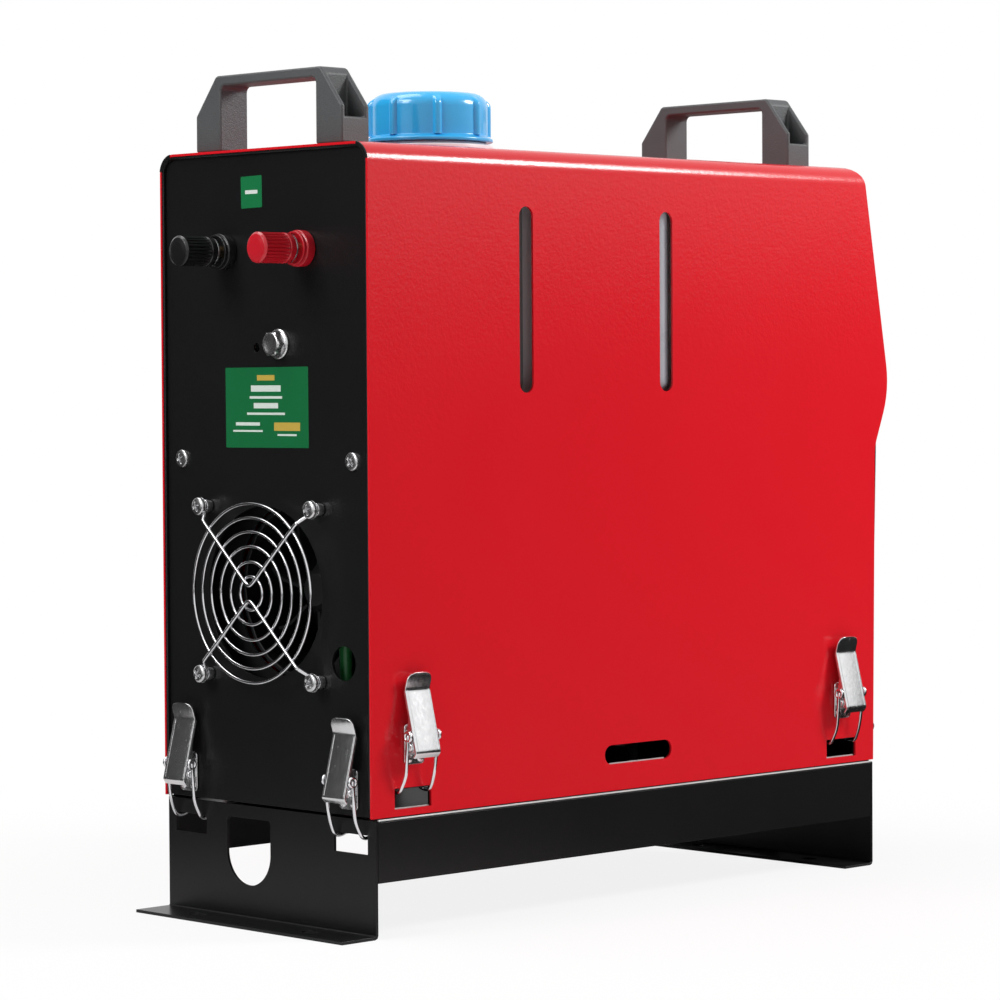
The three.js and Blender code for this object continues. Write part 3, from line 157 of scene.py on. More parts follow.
def oblong(left, right, low, high):
    """Corners of a rectangle, going round."""
    return [(left, low), (right, low), (right, high), (left, high)]


def box_outline(half_width, half_height):
    """Corners of a rectangle about its middle, going round."""
    return oblong(-half_width, half_width, -half_height, half_height)


def six_sided(angle, inner):
    """Radius of a hexagon whose flats stand at the inner radius: inner / cos(angle off a flat)."""
    return inner / np.cos((angle % (TAU / 6)) - TAU / 12)


# ---- surfaces from arrays
# Each is a grid of points, and whether its rows and its columns wrap round.
def grid_faces(rows, columns, wrap_rows, wrap_columns, first):
    """Quads between neighbouring rows and columns of a grid, wrapped round where the form closes."""
    i, j = np.meshgrid(np.arange(rows if wrap_rows else rows - 1),
                       np.arange(columns if wrap_columns else columns - 1), indexing="ij")
    k, l = (i + 1) % rows, (j + 1) % columns
    corners = [i * columns + j, k * columns + j, k * columns + l, i * columns + l]
    return np.stack(corners, -1).reshape(-1, 4) + first


def capped(grid):
    """The grid with a row at each end drawn to that end's middle, which closes the form."""
    ends = [np.repeat(row.mean(axis=0, keepdims=True)[None], grid.shape[1], axis=1)
            for row in (grid[0], grid[-1])]
    return np.concatenate([ends[0], grid, ends[1]])


def bar(points):
    """Rows of closed sections in workshop millimetres, both ends capped."""
    return capped(shop(points)), False, True


def frames_along(path, closed=False):
    """Two directions across the path, carried along it without twist."""
    step = np.roll(path, -1, 0) - np.roll(path, 1, 0) if closed else np.gradient(path, axis=0)
    tangent = unit(step)
    guide = np.eye(3)[np.argmin(np.abs(tangent[0]))]
    across = np.empty_like(tangent)
    for i, t in enumerate(tangent):
        guide = unit(guide - (guide @ t) * t)
        across[i] = guide
    return across, np.cross(tangent, across)


def tube(path, radius, sides, closed=False):
    """Circle carried along a path."""
    path = np.asarray(path, float)
    across, up = frames_along(path, closed)
    a = np.linspace(0, TAU, sides, endpoint=False)[None, :, None]
    grid = path[:, None] + radius * (np.cos(a) * across[:, None] + np.sin(a) * up[:, None])
    return (grid, True, True) if closed else (capped(grid), False, True)


def turned(profile, place, axis, sides=64, closed=False, swell=None):
    """Profile of (radius, height) turned about an axis: place + height * axis
    + radius * (cos a, sin a) across it. swell(angle, height) adds to the radius."""
    profile = np.asarray(profile, float)
    axis = unit(axis)
    across = unit(np.cross(axis, [0.31, 0.87, 0.11] if abs(axis[2]) > 0.9 else Z))
    up = np.cross(axis, across)
    a = np.linspace(0, TAU, sides, endpoint=False)[None]
    r, h = profile[:, :1], profile[:, 1:]
    radius = np.broadcast_to(r, (len(profile), sides)).copy()
    if swell is not None:
        radius = radius + swell(a, h) * (r > 1e-6)
    grid = (np.asarray(place, float) + h[..., None] * axis + (radius * np.cos(a))[..., None] * across
            + (radius * np.sin(a))[..., None] * up)
    return grid, closed, True


def slab(outline, low, high, edge, place):
    """Flat plate: an outline, star-shaped about its middle, between two heights, its rims eased.
    place(u, v, h) puts the plate's coordinates into space."""
    outline = np.asarray(outline, float)
    middle = outline.mean(axis=0)
    arm = outline - middle
    inner = middle + arm * (1 - edge / np.linalg.norm(arm, axis=1, keepdims=True))
    point = np.repeat(middle[None], len(outline), axis=0)
    rows = [(point, low), (inner, low), (outline, low + edge),
            (outline, high - edge), (inner, high), (point, high)]
    grid = np.stack([place(line[:, 0], line[:, 1], np.full(len(line), height)) for line, height in rows])
    return grid, False, True


def strip(path, width, thickness, edge, place, per=3):
    """Bent strip: a rounded rectangle of width by thickness carried along a flat path of (u, v).
    place(u, v, across) puts it into space. width is one value, or one for each point of the path."""
    path = np.asarray(path, float)
    slope = unit(np.gradient(path, axis=0))
    normal = np.stack([-slope[:, 1], slope[:, 0]], -1)
    width = np.broadcast_to(np.asarray(width, float), (len(path),))
    corner = np.linspace(0, math.pi / 2, per + 1)
    quarters = [(1, 1, 0), (-1, 1, 1), (-1, -1, 2), (1, -1, 3)]
    half = np.concatenate([np.full(per + 1, s / 2) for s, _, _ in quarters])
    lift = np.concatenate([t * (thickness / 2 - edge) + edge * np.sin(corner + k * math.pi / 2)
                           for _, t, k in quarters])
    inset = np.concatenate([-s * edge + edge * np.cos(corner + k * math.pi / 2) for s, _, k in quarters])
    y = half[None] * width[:, None] + inset[None]
    u = path[:, :1] + normal[:, :1] * lift[None]
    v = path[:, 1:] + normal[:, 1:] * lift[None]
    return capped(place(u, v, y)), False, True


# ---- pieces
WELD = 1e-6  # metres within which the points of a pole or seam are one
CREASE = 38.0  # degrees over which an edge stays sharp


def close_up(mesh):
    """Joins rows that meet at poles and seams, and turns all faces outwards."""
    work = bmesh.new()
    work.from_mesh(mesh)
    bmesh.ops.remove_doubles(work, verts=work.verts, dist=WELD)
    bmesh.ops.dissolve_degenerate(work, edges=work.edges, dist=WELD / 10)
    bmesh.ops.recalc_face_normals(work, faces=work.faces)
    work.to_mesh(mesh)
    work.free()


def add(name, mesh, material, body, replaced=None, sharp=CREASE):
    """Places a finished mesh as a piece that rides on a body, and stands for the node it replaces."""
    mesh.shade_smooth()
    mesh.set_sharp_from_angle(angle=math.radians(sharp))
    mesh.materials.append(material)
    piece = bpy.data.objects.new(name, mesh)
    bpy.context.scene.collection.objects.link(piece)
    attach(piece, body)
    if replaced:
        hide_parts(replaced)
    return piece


def made(name, grids, material, body, replaced=None, sharp=CREASE):
    """A piece from grids of points in row millimetres."""
    verts, faces, first = [], [], 0
    for points, wrap_rows, wrap_columns in grids:
        rows, columns = points.shape[:2]
        verts.append(points.reshape(-1, 3))
        faces.append(grid_faces(rows, columns, wrap_rows, wrap_columns, first))
        first += rows * columns
    mesh = bpy.data.meshes.new(name)
    mesh.from_pydata((np.concatenate(verts) / 1000).tolist(), [], np.concatenate(faces).tolist())
    close_up(mesh)
    return add(name, mesh, material, body, replaced, sharp)


# ---- shader nodes
def fill_in(tree, node, inputs):
    """Sets each input of a node to a constant, or links it to another node's output."""
    for socket, value in inputs.items():
        if isinstance(value, bpy.types.NodeSocket):
            tree.links.new(value, node.inputs[socket])
        else:
            node.inputs[socket].default_value = value


def wire(tree, kind, inputs=None, **settings):
    """A new shader node with its settings and inputs."""
    node = tree.nodes.new(f"ShaderNode{kind}")
    for setting, value in settings.items():
        setattr(node, setting, value)
    fill_in(tree, node, inputs or {})
    return node


def here(tree):
    """The surface point in the object's own coordinates."""
    return wire(tree, "TexCoord").outputs["Object"]


def noise(tree, place, scale, detail=2.0, roughness=0.5):
    return wire(tree, "TexNoise", {"Vector": place, "Scale": scale, "Detail": detail,
                                   "Roughness": roughness}).outputs["Fac"]


def calc(tree, operation, first, second, clamp=False):
    return wire(tree, "Math", {0: first, 1: second}, operation=operation, use_clamp=clamp).outputs[0]


def mixed(tree, share, low, high):
    """Colour between two colours."""
    return wire(tree, "Mix", {0: share, 6: low, 7: high}, data_type="RGBA").outputs[2]


def spread(tree, mask, ends):
    """The mask's 0 to 1 laid over two values."""
    return wire(tree, "MapRange", {"Value": mask, "To Min": ends[0], "To Max": ends[1]}).outputs["Result"]


def bumped(tree, height, strength, distance):
    return wire(tree, "Bump", {"Height": height, "Strength": strength,
                               "Distance": distance}).outputs["Normal"]


def opaque(colour):
    return (*colour, 1)


def grey(tone):
    return opaque((tone, tone, tone))


# ---- shared effects
def new_group(name, inputs, output):
    """Node group with its inputs, floats or vectors, and one output."""
    tree = bpy.data.node_groups.new(name, "ShaderNodeTree")
    for label, value in inputs.items():
        kind = "NodeSocketVector" if isinstance(value, tuple) else "NodeSocketFloat"
        tree.interface.new_socket(name=label, in_out="INPUT", socket_type=kind).default_value = value
    tree.interface.new_socket(name=output, in_out="OUTPUT", socket_type="NodeSocketFloat")
    ins, out = tree.nodes.new("NodeGroupInput"), tree.nodes.new("NodeGroupOutput")
    return tree, ins.outputs, out.inputs[output]


def slow_drift():
    """Slow change over a surface, 0 to 1: one noise of three octaves."""
    tree, ins, out = new_group("slow_drift", {"Scale": 8.0}, "Mask")
    tree.links.new(noise(tree, here(tree), ins["Scale"], 3.0, 0.6), out)
    return tree


def fine_skin():
    """Height of a fine skin, powder coat or moulded plastic: noise of grains with some broad wave."""
    tree, ins, out = new_group("fine_skin", {"Grain": 900.0, "Wave": 60.0, "Wave share": 0.3}, "Height")
    place = here(tree)
    grain, wave = noise(tree, place, ins["Grain"]), noise(tree, place, ins["Wave"], 1.0)
    blend = wire(tree, "Mix", {0: ins["Wave share"], 2: grain, 3: wave})
    tree.links.new(blend.outputs[0], out)
    return tree


def worn_edges():
    """Mask that is bright on outward edges, broken up by noise: pointiness over a threshold, steepened."""
    tree, ins, out = new_group("worn_edges", {"Start": 0.56, "Breakup": 120.0}, "Mask")
    steepness = 9.0
    over = calc(tree, "SUBTRACT", wire(tree, "NewGeometry").outputs["Pointiness"], ins["Start"])
    ramp = calc(tree, "MULTIPLY", over, steepness, clamp=True)
    patches = noise(tree, here(tree), ins["Breakup"])
    tree.links.new(calc(tree, "MULTIPLY", ramp, patches, clamp=True), out)
    return tree


def drawn_streaks():
    """Height and mask of drawn or plated metal: noise stretched along one direction."""
    tree, ins, out = new_group("drawn_streaks", {"Scale": 300.0, "Stretch": (1.0, 1.0, 0.06)}, "Height")
    stretched = wire(tree, "Mapping", {"Vector": here(tree), "Scale": ins["Stretch"]})
    tree.links.new(noise(tree, stretched.outputs["Vector"], ins["Scale"], 4.0), out)
    return tree


DRIFT, SKIN, WORN, STREAKS = slow_drift(), fine_skin(), worn_edges(), drawn_streaks()


# ---- finishes
COAT_DEPTH, PLATE_DEPTH = 0.0006, 0.0002  # metres of relief at full strength


def blank(name):
    """A new material, its node tree and its shader."""
    material = bpy.data.materials.new(name)
    material.use_nodes = True
    return material, material.node_tree, material.node_tree.nodes["Principled BSDF"]


def effect(tree, group, **inputs):
    """Output of a shared effect, its inputs given by name."""
    inputs = {label.replace("_", " "): value for label, value in inputs.items()}
    return wire(tree, "Group", inputs, node_tree=group).outputs[0]


def coat(name, dark, light, rough, grain=(900.0, 60.0, 0.3), relief=0.05, drift=6.0, worn=None,
         specular=0.5, gloss=0.0, gloss_rough=0.1):
    """Paint or plastic: colour drifts between two tones, roughness between two values, skin as bump.
    grain: scale of the grains, scale of the waves, share of the waves. worn: colour and threshold."""
    material, tree, bsdf = blank(name)
    slow = effect(tree, DRIFT, Scale=drift)
    skin = effect(tree, SKIN, Grain=grain[0], Wave=grain[1], Wave_share=grain[2])
    colour = mixed(tree, slow, opaque(dark), opaque(light))
    if worn:
        colour = mixed(tree, effect(tree, WORN, Start=worn[1]), colour, opaque(worn[0]))
    fill_in(tree, bsdf, {
        "Base Color": colour, "Roughness": spread(tree, slow, rough),
        "Normal": bumped(tree, skin, relief, COAT_DEPTH), "Specular IOR Level": specular,
        "Coat Weight": gloss, "Coat Roughness": gloss_rough})
    return material


def plated(name, dark, light, rough, stretch=(1.0, 1.0, 1.0), relief=0.1, scale=300.0):
    """Plated or machined metal: streaks change its roughness and give a fine relief, its tone drifts."""
    material, tree, bsdf = blank(name)
    streak = effect(tree, STREAKS, Scale=scale, Stretch=stretch)
    slow = effect(tree, DRIFT, Scale=40.0)
    fill_in(tree, bsdf, {
        "Base Color": mixed(tree, slow, opaque(dark), opaque(light)),
        "Roughness": spread(tree, streak, rough),
        "Normal": bumped(tree, streak, relief, PLATE_DEPTH), "Metallic": 1.0})
    return material


def printed(name, ground, centre, *prints):
    """Sticker facing -X, printed with bars, each (y, z, half width, half height) in mm from its
    middle. A bar's mask is 1 where both |y - y0| and |z - z0| are under its half sizes."""
    material, tree, bsdf = blank(name)
    split = wire(tree, "SeparateXYZ", {0: here(tree)}).outputs

    def inside(axis, middle, half):
        return wire(tree, "Math", {0: split[axis], 1: middle / 1000, 2: half / 1000},
                    operation="COMPARE").outputs[0]

    def mask_of(bars):
        total = 0.0
        for y, z, half_width, half_height in bars:
            both = calc(tree, "MULTIPLY", inside("Y", centre[0] + y, half_width),
                        inside("Z", centre[1] + z, half_height))
            total = calc(tree, "MAXIMUM", total, both)
        return total

    slow = effect(tree, DRIFT, Scale=30.0)
    colour = mixed(tree, slow, opaque(ground), opaque(c * 1.12 for c in ground))
    for bars, ink in prints:
        colour = mixed(tree, mask_of(bars), colour, opaque(ink))
    fill_in(tree, bsdf, {"Base Color": colour, "Roughness": 0.35, "Coat Weight": 0.3})
    return material


MILKY = (260.0, 40.0, 0.5)
RED_COAT = coat("red_powder_coat", (0.64, 0.006, 0.014), (0.74, 0.009, 0.018), (0.17, 0.24),
                (640.0, 260.0, 0.45), relief=0.20, drift=2.5, specular=0.45)
BLACK_COAT = coat("black_powder_coat", (0.0065, 0.0065, 0.007), (0.0095, 0.0095, 0.010), (0.26, 0.36),
                  (1500.0, 240.0, 0.2), relief=0.14, drift=7.0, worn=((0.05, 0.05, 0.052), 0.60),
                  specular=0.26)
# Light grey copy of the black coat: a painted highlight for the skirt ledges and for the glints at the foot
# of the cover's holes.
PAINTED_HIGHLIGHT = coat("black_coat_painted_highlight", (0.48, 0.48, 0.48), (0.72, 0.72, 0.72), (0.16, 0.26),
                    (900.0, 120.0, 0.3), relief=0.08, drift=40.0, specular=0.6)
GREY_MOULDING = coat("grey_handle_moulding", (0.068, 0.071, 0.073), (0.098, 0.102, 0.105), (0.42, 0.56),
                     (1300.0, 300.0, 0.25), relief=0.30, drift=22.0,
                     worn=((0.16, 0.16, 0.165), 0.58), specular=0.4)
BLACK_MOULDING = coat("black_moulding", (0.010, 0.010, 0.011), (0.018, 0.018, 0.019), (0.35, 0.5),
                      (1100.0, 200.0, 0.2), relief=0.12, drift=25.0, specular=0.4)
BLACK_KNOB = coat("black_knob_moulding", (0.006, 0.006, 0.0065), (0.010, 0.010, 0.011), (0.2, 0.32),
                  (900.0, 90.0, 0.2), relief=0.04, drift=25.0)
RED_KNOB = coat("red_knob_moulding", (0.50, 0.006, 0.016), (0.60, 0.010, 0.022), (0.2, 0.3),
                (700.0, 90.0, 0.2), relief=0.04, drift=25.0, gloss=0.2)
BLUE_CAP = coat("blue_cap_moulding", (0.020, 0.44, 0.94), (0.035, 0.54, 0.99), (0.16, 0.24),
                (700.0, 80.0, 0.3), drift=14.0, specular=0.6, gloss=0.3)
TANK_SHELL = coat("milky_tank_shell", (0.74, 0.76, 0.78), (0.86, 0.88, 0.90), (0.4, 0.55),
                  MILKY, relief=0.10, drift=9.0)
# Lighter copy of the tank shell for the neck's collar: painted light, as the collar sits in the cap's shade.
LIT_NECK_SHELL = coat("neck_shell_painted_light", (0.88, 0.88, 0.91), (0.93, 0.93, 0.96), (0.3, 0.4),
                  MILKY, relief=0.10, drift=9.0)
# Lit and shaded copies of the tank shell for the sight ribs: painted light and painted shade.
LIT_TANK = coat("lit_tank_shell", (0.36, 0.38, 0.43), (0.56, 0.58, 0.62), (0.22, 0.34),
                  MILKY, relief=0.10, drift=30.0)
SHADED_TANK = coat("shaded_tank_shell", (0.13, 0.14, 0.14), (0.22, 0.22, 0.23), (0.3, 0.4),
                   MILKY, relief=0.10, drift=16.0)
HOSE_RUBBER = coat("green_hose_rubber", (0.012, 0.12, 0.030), (0.02, 0.19, 0.05), (0.3, 0.45),
                   (500.0, 80.0, 0.3), relief=0.08, drift=30.0)
SEAL_RUBBER = coat("black_seal_rubber", (0.008, 0.008, 0.008), (0.012, 0.012, 0.012), (0.7, 0.85),
                   (900.0, 90.0, 0.3), relief=0.2)
NYLON_LINE = coat("nylon_line", (0.52, 0.52, 0.46), (0.6, 0.6, 0.54), (0.35, 0.5), (500.0, 60.0, 0.3))
SCREEN_GLASS = coat("dark_screen", (0.010, 0.014, 0.013), (0.014, 0.020, 0.018), (0.06, 0.10),
                    (200.0, 40.0, 0.5), relief=0.0, drift=4.0, gloss=1.0, gloss_rough=0.03)
PLATED_STEEL = plated("bright_zinc_plate", (0.62, 0.62, 0.63), (0.86, 0.86, 0.87), (0.12, 0.34),
                      (1.0, 1.0, 0.35), relief=0.30, scale=700.0)
BRIGHT_WIRE = plated("bright_chrome_wire", (0.62, 0.62, 0.64), (0.80, 0.80, 0.82), (0.06, 0.16),
                     relief=0.03)
SCREW_STEEL = plated("bright_screw_steel", (0.50, 0.50, 0.51), (0.70, 0.70, 0.71), (0.18, 0.36))
CAST_METAL = plated("cast_aluminium", (0.42, 0.43, 0.44), (0.56, 0.57, 0.58), (0.42, 0.6),
                    relief=0.5, scale=220.0)
TURNED_BRASS = plated("turned_brass", (0.62, 0.42, 0.16), (0.78, 0.56, 0.25), (0.18, 0.34))


# ---- sheets, mouldings, inner parts
EASED = {  # node: its finish, and the width of its eased edges
    "cover": (RED_COAT, 0.35), "base_tray": (BLACK_COAT, 0.35), "back_foot": (BLACK_COAT, 0.35),
    "front_foot": (BLACK_COAT, 0.35), "back_panel": (BLACK_COAT, 0.9), "front_panel": (BLACK_COAT, 0.4),
    "tank_shelf": (BLACK_COAT, 0.3), "handle_back": (GREY_MOULDING, 0.9),
    "handle_front": (GREY_MOULDING, 0.9), "fuel_tank": (TANK_SHELL, 0.8),
    "heater_casing": (BLACK_MOULDING, 0.5), "heat_exchanger": (CAST_METAL, 0.5),
    "fan_motor": (PLATED_STEEL, 0.6), "fan_impeller": (BLACK_MOULDING, 0.3),
    "glow_plug": (TURNED_BRASS, 0.3), "fuel_pump": (PLATED_STEEL, 0.5),
    "controller_body": (BLACK_MOULDING, 0.7), "cap_seal": (SEAL_RUBBER, 0.2),
}
EASE = Sizes(weld=2e-6, flat=0.6, segments=2, angle=32.0)


def dressed(node, material, edge):
    """The node's own form with its loose triangles joined into faces and its edges eased."""
    mesh = frame["nodes"][node].data.copy()
    mesh.name = f"{node}_finished"
    mesh.materials.clear()
    work = bmesh.new()
    work.from_mesh(mesh)
    bmesh.ops.remove_doubles(work, verts=work.verts, dist=EASE.weld)
    bmesh.ops.dissolve_limit(work, angle_limit=math.radians(EASE.flat), verts=work.verts, edges=work.edges)
    work.to_mesh(mesh)
    work.free()
    piece = add(f"{node}_finished", mesh, material, frame["nodes"][node]["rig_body"], node)
    ease = piece.modifiers.new("eased edges", "BEVEL")
    ease.width = edge / 1000
    ease.segments = EASE.segments
    ease.limit_method = "ANGLE"
    ease.angle_limit = math.radians(EASE.angle)
    ease.harden_normals = False
    piece.modifiers.new("flat faces", "WEIGHTED_NORMAL").keep_sharp = True


# ---- wire fan guard
GUARD = Sizes(y=1.5, z=161.2, radii=(8.1, 15.2, 22.7, 29.8, 36.6, 43.4), wire=0.8, spoke=0.95,
              half=41.25, standoff=8.6, eyelet=2.9, spacer=4.2, spacer_radius=3.4, apex=2.0)


def fan_guard():
    """Six wire rings, two bent wires crossing in front of them, and an eyelet at each corner."""
    g = GUARD
    at = placing(shop([PANEL, g.y, g.z]), X, Y, Z)
    a = np.linspace(0, TAU, 120, endpoint=False)
    low = -g.spacer - g.spoke - 0.3
    front = -g.standoff - g.wire - g.spoke + 0.35
    grids = [tube(at(-g.standoff, r * np.cos(a), r * np.sin(a)), g.wire, 10, True) for r in g.radii]
    reach = g.half - g.eyelet * math.sqrt(0.5)
    ring = np.linspace(0, TAU, 28, endpoint=False)
    sleeve = rounded(oblong(0, g.spacer_radius, 0.3, g.spacer), (0, 0.3, 0.3, 0), 2, False)
    for side in (1, -1):
        half = [(low, reach, reach), (low - 0.6, reach - 1.4, reach - 1.4),
                (front + 0.8, reach - 4.2, reach - 4.2), (front, reach - 6, reach - 6),
                (front, 22, 22 + g.apex * 0.5), (front, 7, 7 + g.apex), (front, 2.4, 2.9 + g.apex),
                (front, 0, 1.9 + g.apex)]
        other = [(x, -y, z) for x, y, z in half[:-1]][::-1]
        x, y, z = through(half + other, 6).T
        grids.append(tube(at(x, y, side * z), g.spoke, 10))
        for end in (1, -1):
            grids.append(tube(at(low, end * g.half + g.eyelet * np.cos(ring),
                                 side * g.half + g.eyelet * np.sin(ring)), g.spoke, 10, True))
            foot = shop([PANEL, g.y + end * g.half, g.z + side * g.half])
            grids.append(turned(sleeve, foot, BACKWARDS, 24))
    made("fan_guard_wire", grids, BRIGHT_WIRE, "housing", "fan_guard", 60)


# ---- terminals
TERMINAL = Sizes(y=29.0, z=327.0, stud=2.4, stud_length=24.0, inner_end=-12.0, pitch=0.8, thread=0.16,
                 nut=5.0, nut_flat=4.33, base=8.8, base_length=7.0, lip=8.2, recess=1.1, insert=4.3,
                 insert_length=6.0, flange=1.35, knob=7.4, knob_length=20.5, standoff=3.4, flutes=26,
                 flute_sides=12, flute_depth=0.62)


def terminal(colour, y, plastic):
    """Post of a screw terminal, its axis along -X: collar, threaded stud, bush and fluted knob."""
    foot = shop([PANEL, y, TERMINAL.z])
    mouth = TERMINAL.base_length + TERMINAL.standoff
    terminal_collar(colour, foot, plastic)
    terminal_stud(colour, foot)
    terminal_bush(colour, foot, mouth)
    terminal_knob(colour, foot, mouth, plastic)


def terminal_collar(colour, foot, plastic):
    """Ring grooved below its lip, with a recess that takes the bush in when the post is screwed down."""
    t = TERMINAL
    bore, recess, face = t.stud + 0.35, t.knob - 0.35, t.base_length
    line = rounded([(bore, 0.3), (t.base, 0.3), (t.base, face - 2.2), (t.lip - 1.1, face - 1.6),
                    (t.lip, face - 1.2), (t.lip, face), (recess, face), (recess, face - t.recess),
                    (bore, face - t.recess)], (0, 0.3, 0.5, 0.2, 0.3, 0.35, 0.2, 0.1, 0.2), 3)
    made(f"{colour}_collar", [turned(line, foot, BACKWARDS, 72, True)], plastic, "housing",
         f"{colour}_terminal_base")


def terminal_stud(colour, foot):
    """Stud whose radius follows cos(angle - 2 pi height / pitch), and its nut behind the panel."""
    t = TERMINAL
    heights = np.arange(0.2, t.stud_length - 0.6, 0.1)
    core = np.stack([np.full_like(heights, t.stud - 0.18), heights], -1)
    line = np.concatenate([
        [(0, t.inner_end), (t.stud - 0.5, t.inner_end), (t.stud - 0.1, t.inner_end + 0.4),
         (t.stud - 0.1, 0.0)], core, [(t.stud - 0.5, t.stud_length), (0, t.stud_length)]])
    nut = rounded(oblong(0, t.nut, -6.3, -1.8), (0, 0.4, 0.4, 0), 2)

    def thread(angle, height):
        inside = (height > 0.3) & (height < t.stud_length - 0.8)
        return t.thread * np.cos(angle - TAU * height / t.pitch) * inside

    def hexagon(angle, height):
        return (six_sided(angle, t.nut_flat) - t.nut) * np.ones_like(height)

    made(f"{colour}_stud", [turned(line, foot, BACKWARDS, 28, False, thread),
                            turned(nut, foot, BACKWARDS, 48, False, hexagon)],
         TURNED_BRASS, "housing", f"{colour}_terminal_stud")


def terminal_bush(colour, foot, mouth):
    """Metal insert of the knob: a flange in front of its mouth, and a sleeve inside it."""
    t = TERMINAL
    bore, rim, sleeve = t.stud + 0.35, t.knob - 0.5, mouth + t.insert_length
    line = rounded([(bore, mouth - t.flange), (rim, mouth - t.flange), (rim, mouth - 0.2),
                    (t.insert + 1.6, mouth - 0.1), (t.insert + 1.6, mouth + 1),
                    (t.insert, mouth + 1.4), (t.insert, sleeve), (bore, sleeve)],
                   (0.2, 0.35, 0.35, 0, 0.2, 0, 0.2, 0.2), 2)
    made(f"{colour}_bush", [turned(line, foot, BACKWARDS, 48, True)], SCREW_STEEL,
         f"{colour}_insert", f"{colour}_terminal_insert")


def terminal_knob(colour, foot, mouth, plastic):
    """Knob with a well and a bore inside, and cos^2 flutes between its skirt and its domed end."""
    t = TERMINAL
    top, well, grip = mouth + t.knob_length, t.insert + 2.0, t.knob - 0.05
    inside = [(0, top - 2), (t.stud + 0.4, top - 2), (t.stud + 0.4, mouth + 6.3),
              (t.insert + 0.4, mouth + 6.3), (well, mouth + 1.7), (well, mouth)]
    skirt = [(t.knob - 0.1, mouth), (t.knob, mouth + 3.2), (t.knob - 0.35, mouth + 3.8), (grip, mouth + 4.4)]
    barrel = [(grip, h) for h in np.linspace(mouth + 4.45, top - 2.65, 6)]
    end = [(grip, top - 2.6), (t.knob, top - 2.3), (t.knob, top - 1.7), (t.knob - 1.1, top - 0.75),
           (t.knob - 3.2, top - 0.2), (0, top)]
    line = rounded(inside + skirt + barrel + end,
                   (0, 0, 0, 0, 0, 0.3, 0.4, 0.2, 0.2, 0.2, *[0] * len(barrel), 0.1, 0.1, 0.3, 0.5, 1.0, 0),
                   3, False)
    outer = line[:, :1] > t.knob - 0.6

    def flutes(angle, height):
        zone = (np.clip((height - mouth - 4.2) / 0.5, 0, 1) * np.clip((top - 2.1 - height) / 0.5, 0, 1))
        groove = (0.5 + 0.5 * np.cos(t.flutes * angle)) ** 2
        return -t.flute_depth * groove * zone * outer

    made(f"{colour}_knob_moulding", [turned(line, foot, BACKWARDS, t.flutes * t.flute_sides, False, flutes)],
         plastic, f"{colour}_knob", f"{colour}_terminal_knob", 40)


# ---- filler cap
CAP = Sizes(x=112.0, radius=29.6, ribs=8, first_rib=10.0, rib=1.9, rib_width=4.0, height=24.5, dome=7.0,
            rim=2.6, flare=2.6, throat=26.6, wall=2.4, collar=(30.0, 32.4), deck=376.3, sides=384)


def cap_profile():
    """Profile of the cap, inside and out, and a mask of the rows that carry ribs."""
    c = CAP
    flare, shoulder = c.radius + c.flare, c.height - c.dome
    wall = [(c.radius, h) for h in np.linspace(c.rim + 1.2, shoulder - 0.1, 9)]
    skin = rounded([(0, c.height - c.wall), (c.throat, c.height - c.wall), (c.throat, 0), (flare, 0),
                    (flare, c.rim * 0.6), (c.radius, c.rim + 0.5), *wall, (c.radius, c.height),
                    (0, c.height)],
                   (0, 1.0, 0.3, 0.5, 0.7, 0.5, *[0] * len(wall), c.dome, 0), 12, False)
    first_wall = int(np.argmax((skin[:, 0] > c.radius - 0.01) & (skin[:, 1] > c.rim + 1.1)))
    rows_above_flare = 8
    return skin, np.arange(len(skin)) >= first_wall - rows_above_flare


def filler_cap():
    """Domed cap with ribs that add sqrt(1 - (2 across / width)^2) to its radius, and the neck's collar."""
    c = CAP
    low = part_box("fuel_cap")[0].z * 1000
    skin, ribbed = cap_profile()
    r, h = skin[:, :1], skin[:, 1:]
    # angle 0 along +X, so that the ribs stand where the solid has them
    a = np.linspace(0, TAU, c.sides, endpoint=False)[None]
    share = TAU / c.ribs
    off_rib = (a - math.radians(c.first_rib) + share / 2) % share - share / 2
    side = np.sqrt(np.clip(1 - (np.abs(off_rib) * c.radius / (c.rib_width / 2)) ** 2, 0, 1))
    ends = np.clip((h - 1.2) / 1.6, 0, 1) * np.clip((c.height - 2.6 - h) / 2.6, 0, 1)
    radius = r + c.rib * side * np.sqrt(ends) * ribbed[:, None] * (r > 1e-6)
    grid = shop([c.x, 0, low]) + stacked(radius * np.cos(a), radius * np.sin(a), h)
    made("filler_cap_moulding", [(grid, False, True)], BLUE_CAP, "cap", "fuel_cap", 50)

    inner, outer = c.collar
    foot, rim = c.deck + 0.2, low - 1.6
    collar = rounded(oblong(inner, outer, foot, rim), (0, 0.4, 0.8, 0), 4)
    # collar in the lighter copy of the tank shell: painted light
    made("neck_collar", [turned(collar, shop([c.x, 0, 0]), Z, 128, True)], LIT_NECK_SHELL, "housing")


# ---- draw latches
# Profiles are (distance out from the face, height above the bail's window).
LATCH = Sizes(width=16.0, sheet=1.0, pivot=(6.8, 20.5), throw=5.0, fold=(3.6, 47.5), foot=(11.18, 17.5),
              lip=(9.4, 15.2), tab=(5.9, 55.3), tab_round=4.4, margin=2.3, pin=1.3, pin_head=1.9,
              wire=0.9, leg=1.3, eye=2.1, plate=(11.5, 31.0), plate_width=13.0, rolled=2.4, ears=11.4,
              window=23.8, rivets=(-3.6, 3.6))


def latch_places():
    """Origin and axes of each latch in the row frame, in mm, from the axes of its two hinges."""
    hinges = {j["name"]: j for j in frame["joints"]}
    for name, lever in hinges.items():
        if not name.endswith("_lever_swing"):
            continue
        latch = name[:-len("_lever_swing")]
        across = unit(lever["axis"])
        pin = np.array(lever["pos_m"]) * 1000
        up = unit(np.array(hinges[f"{latch}_bail_swing"]["pos_m"]) * 1000 - pin)
        out = np.cross(across, up)
        px, pz = LATCH.pivot
        yield latch, pin - px * out - pz * up, out, across, up


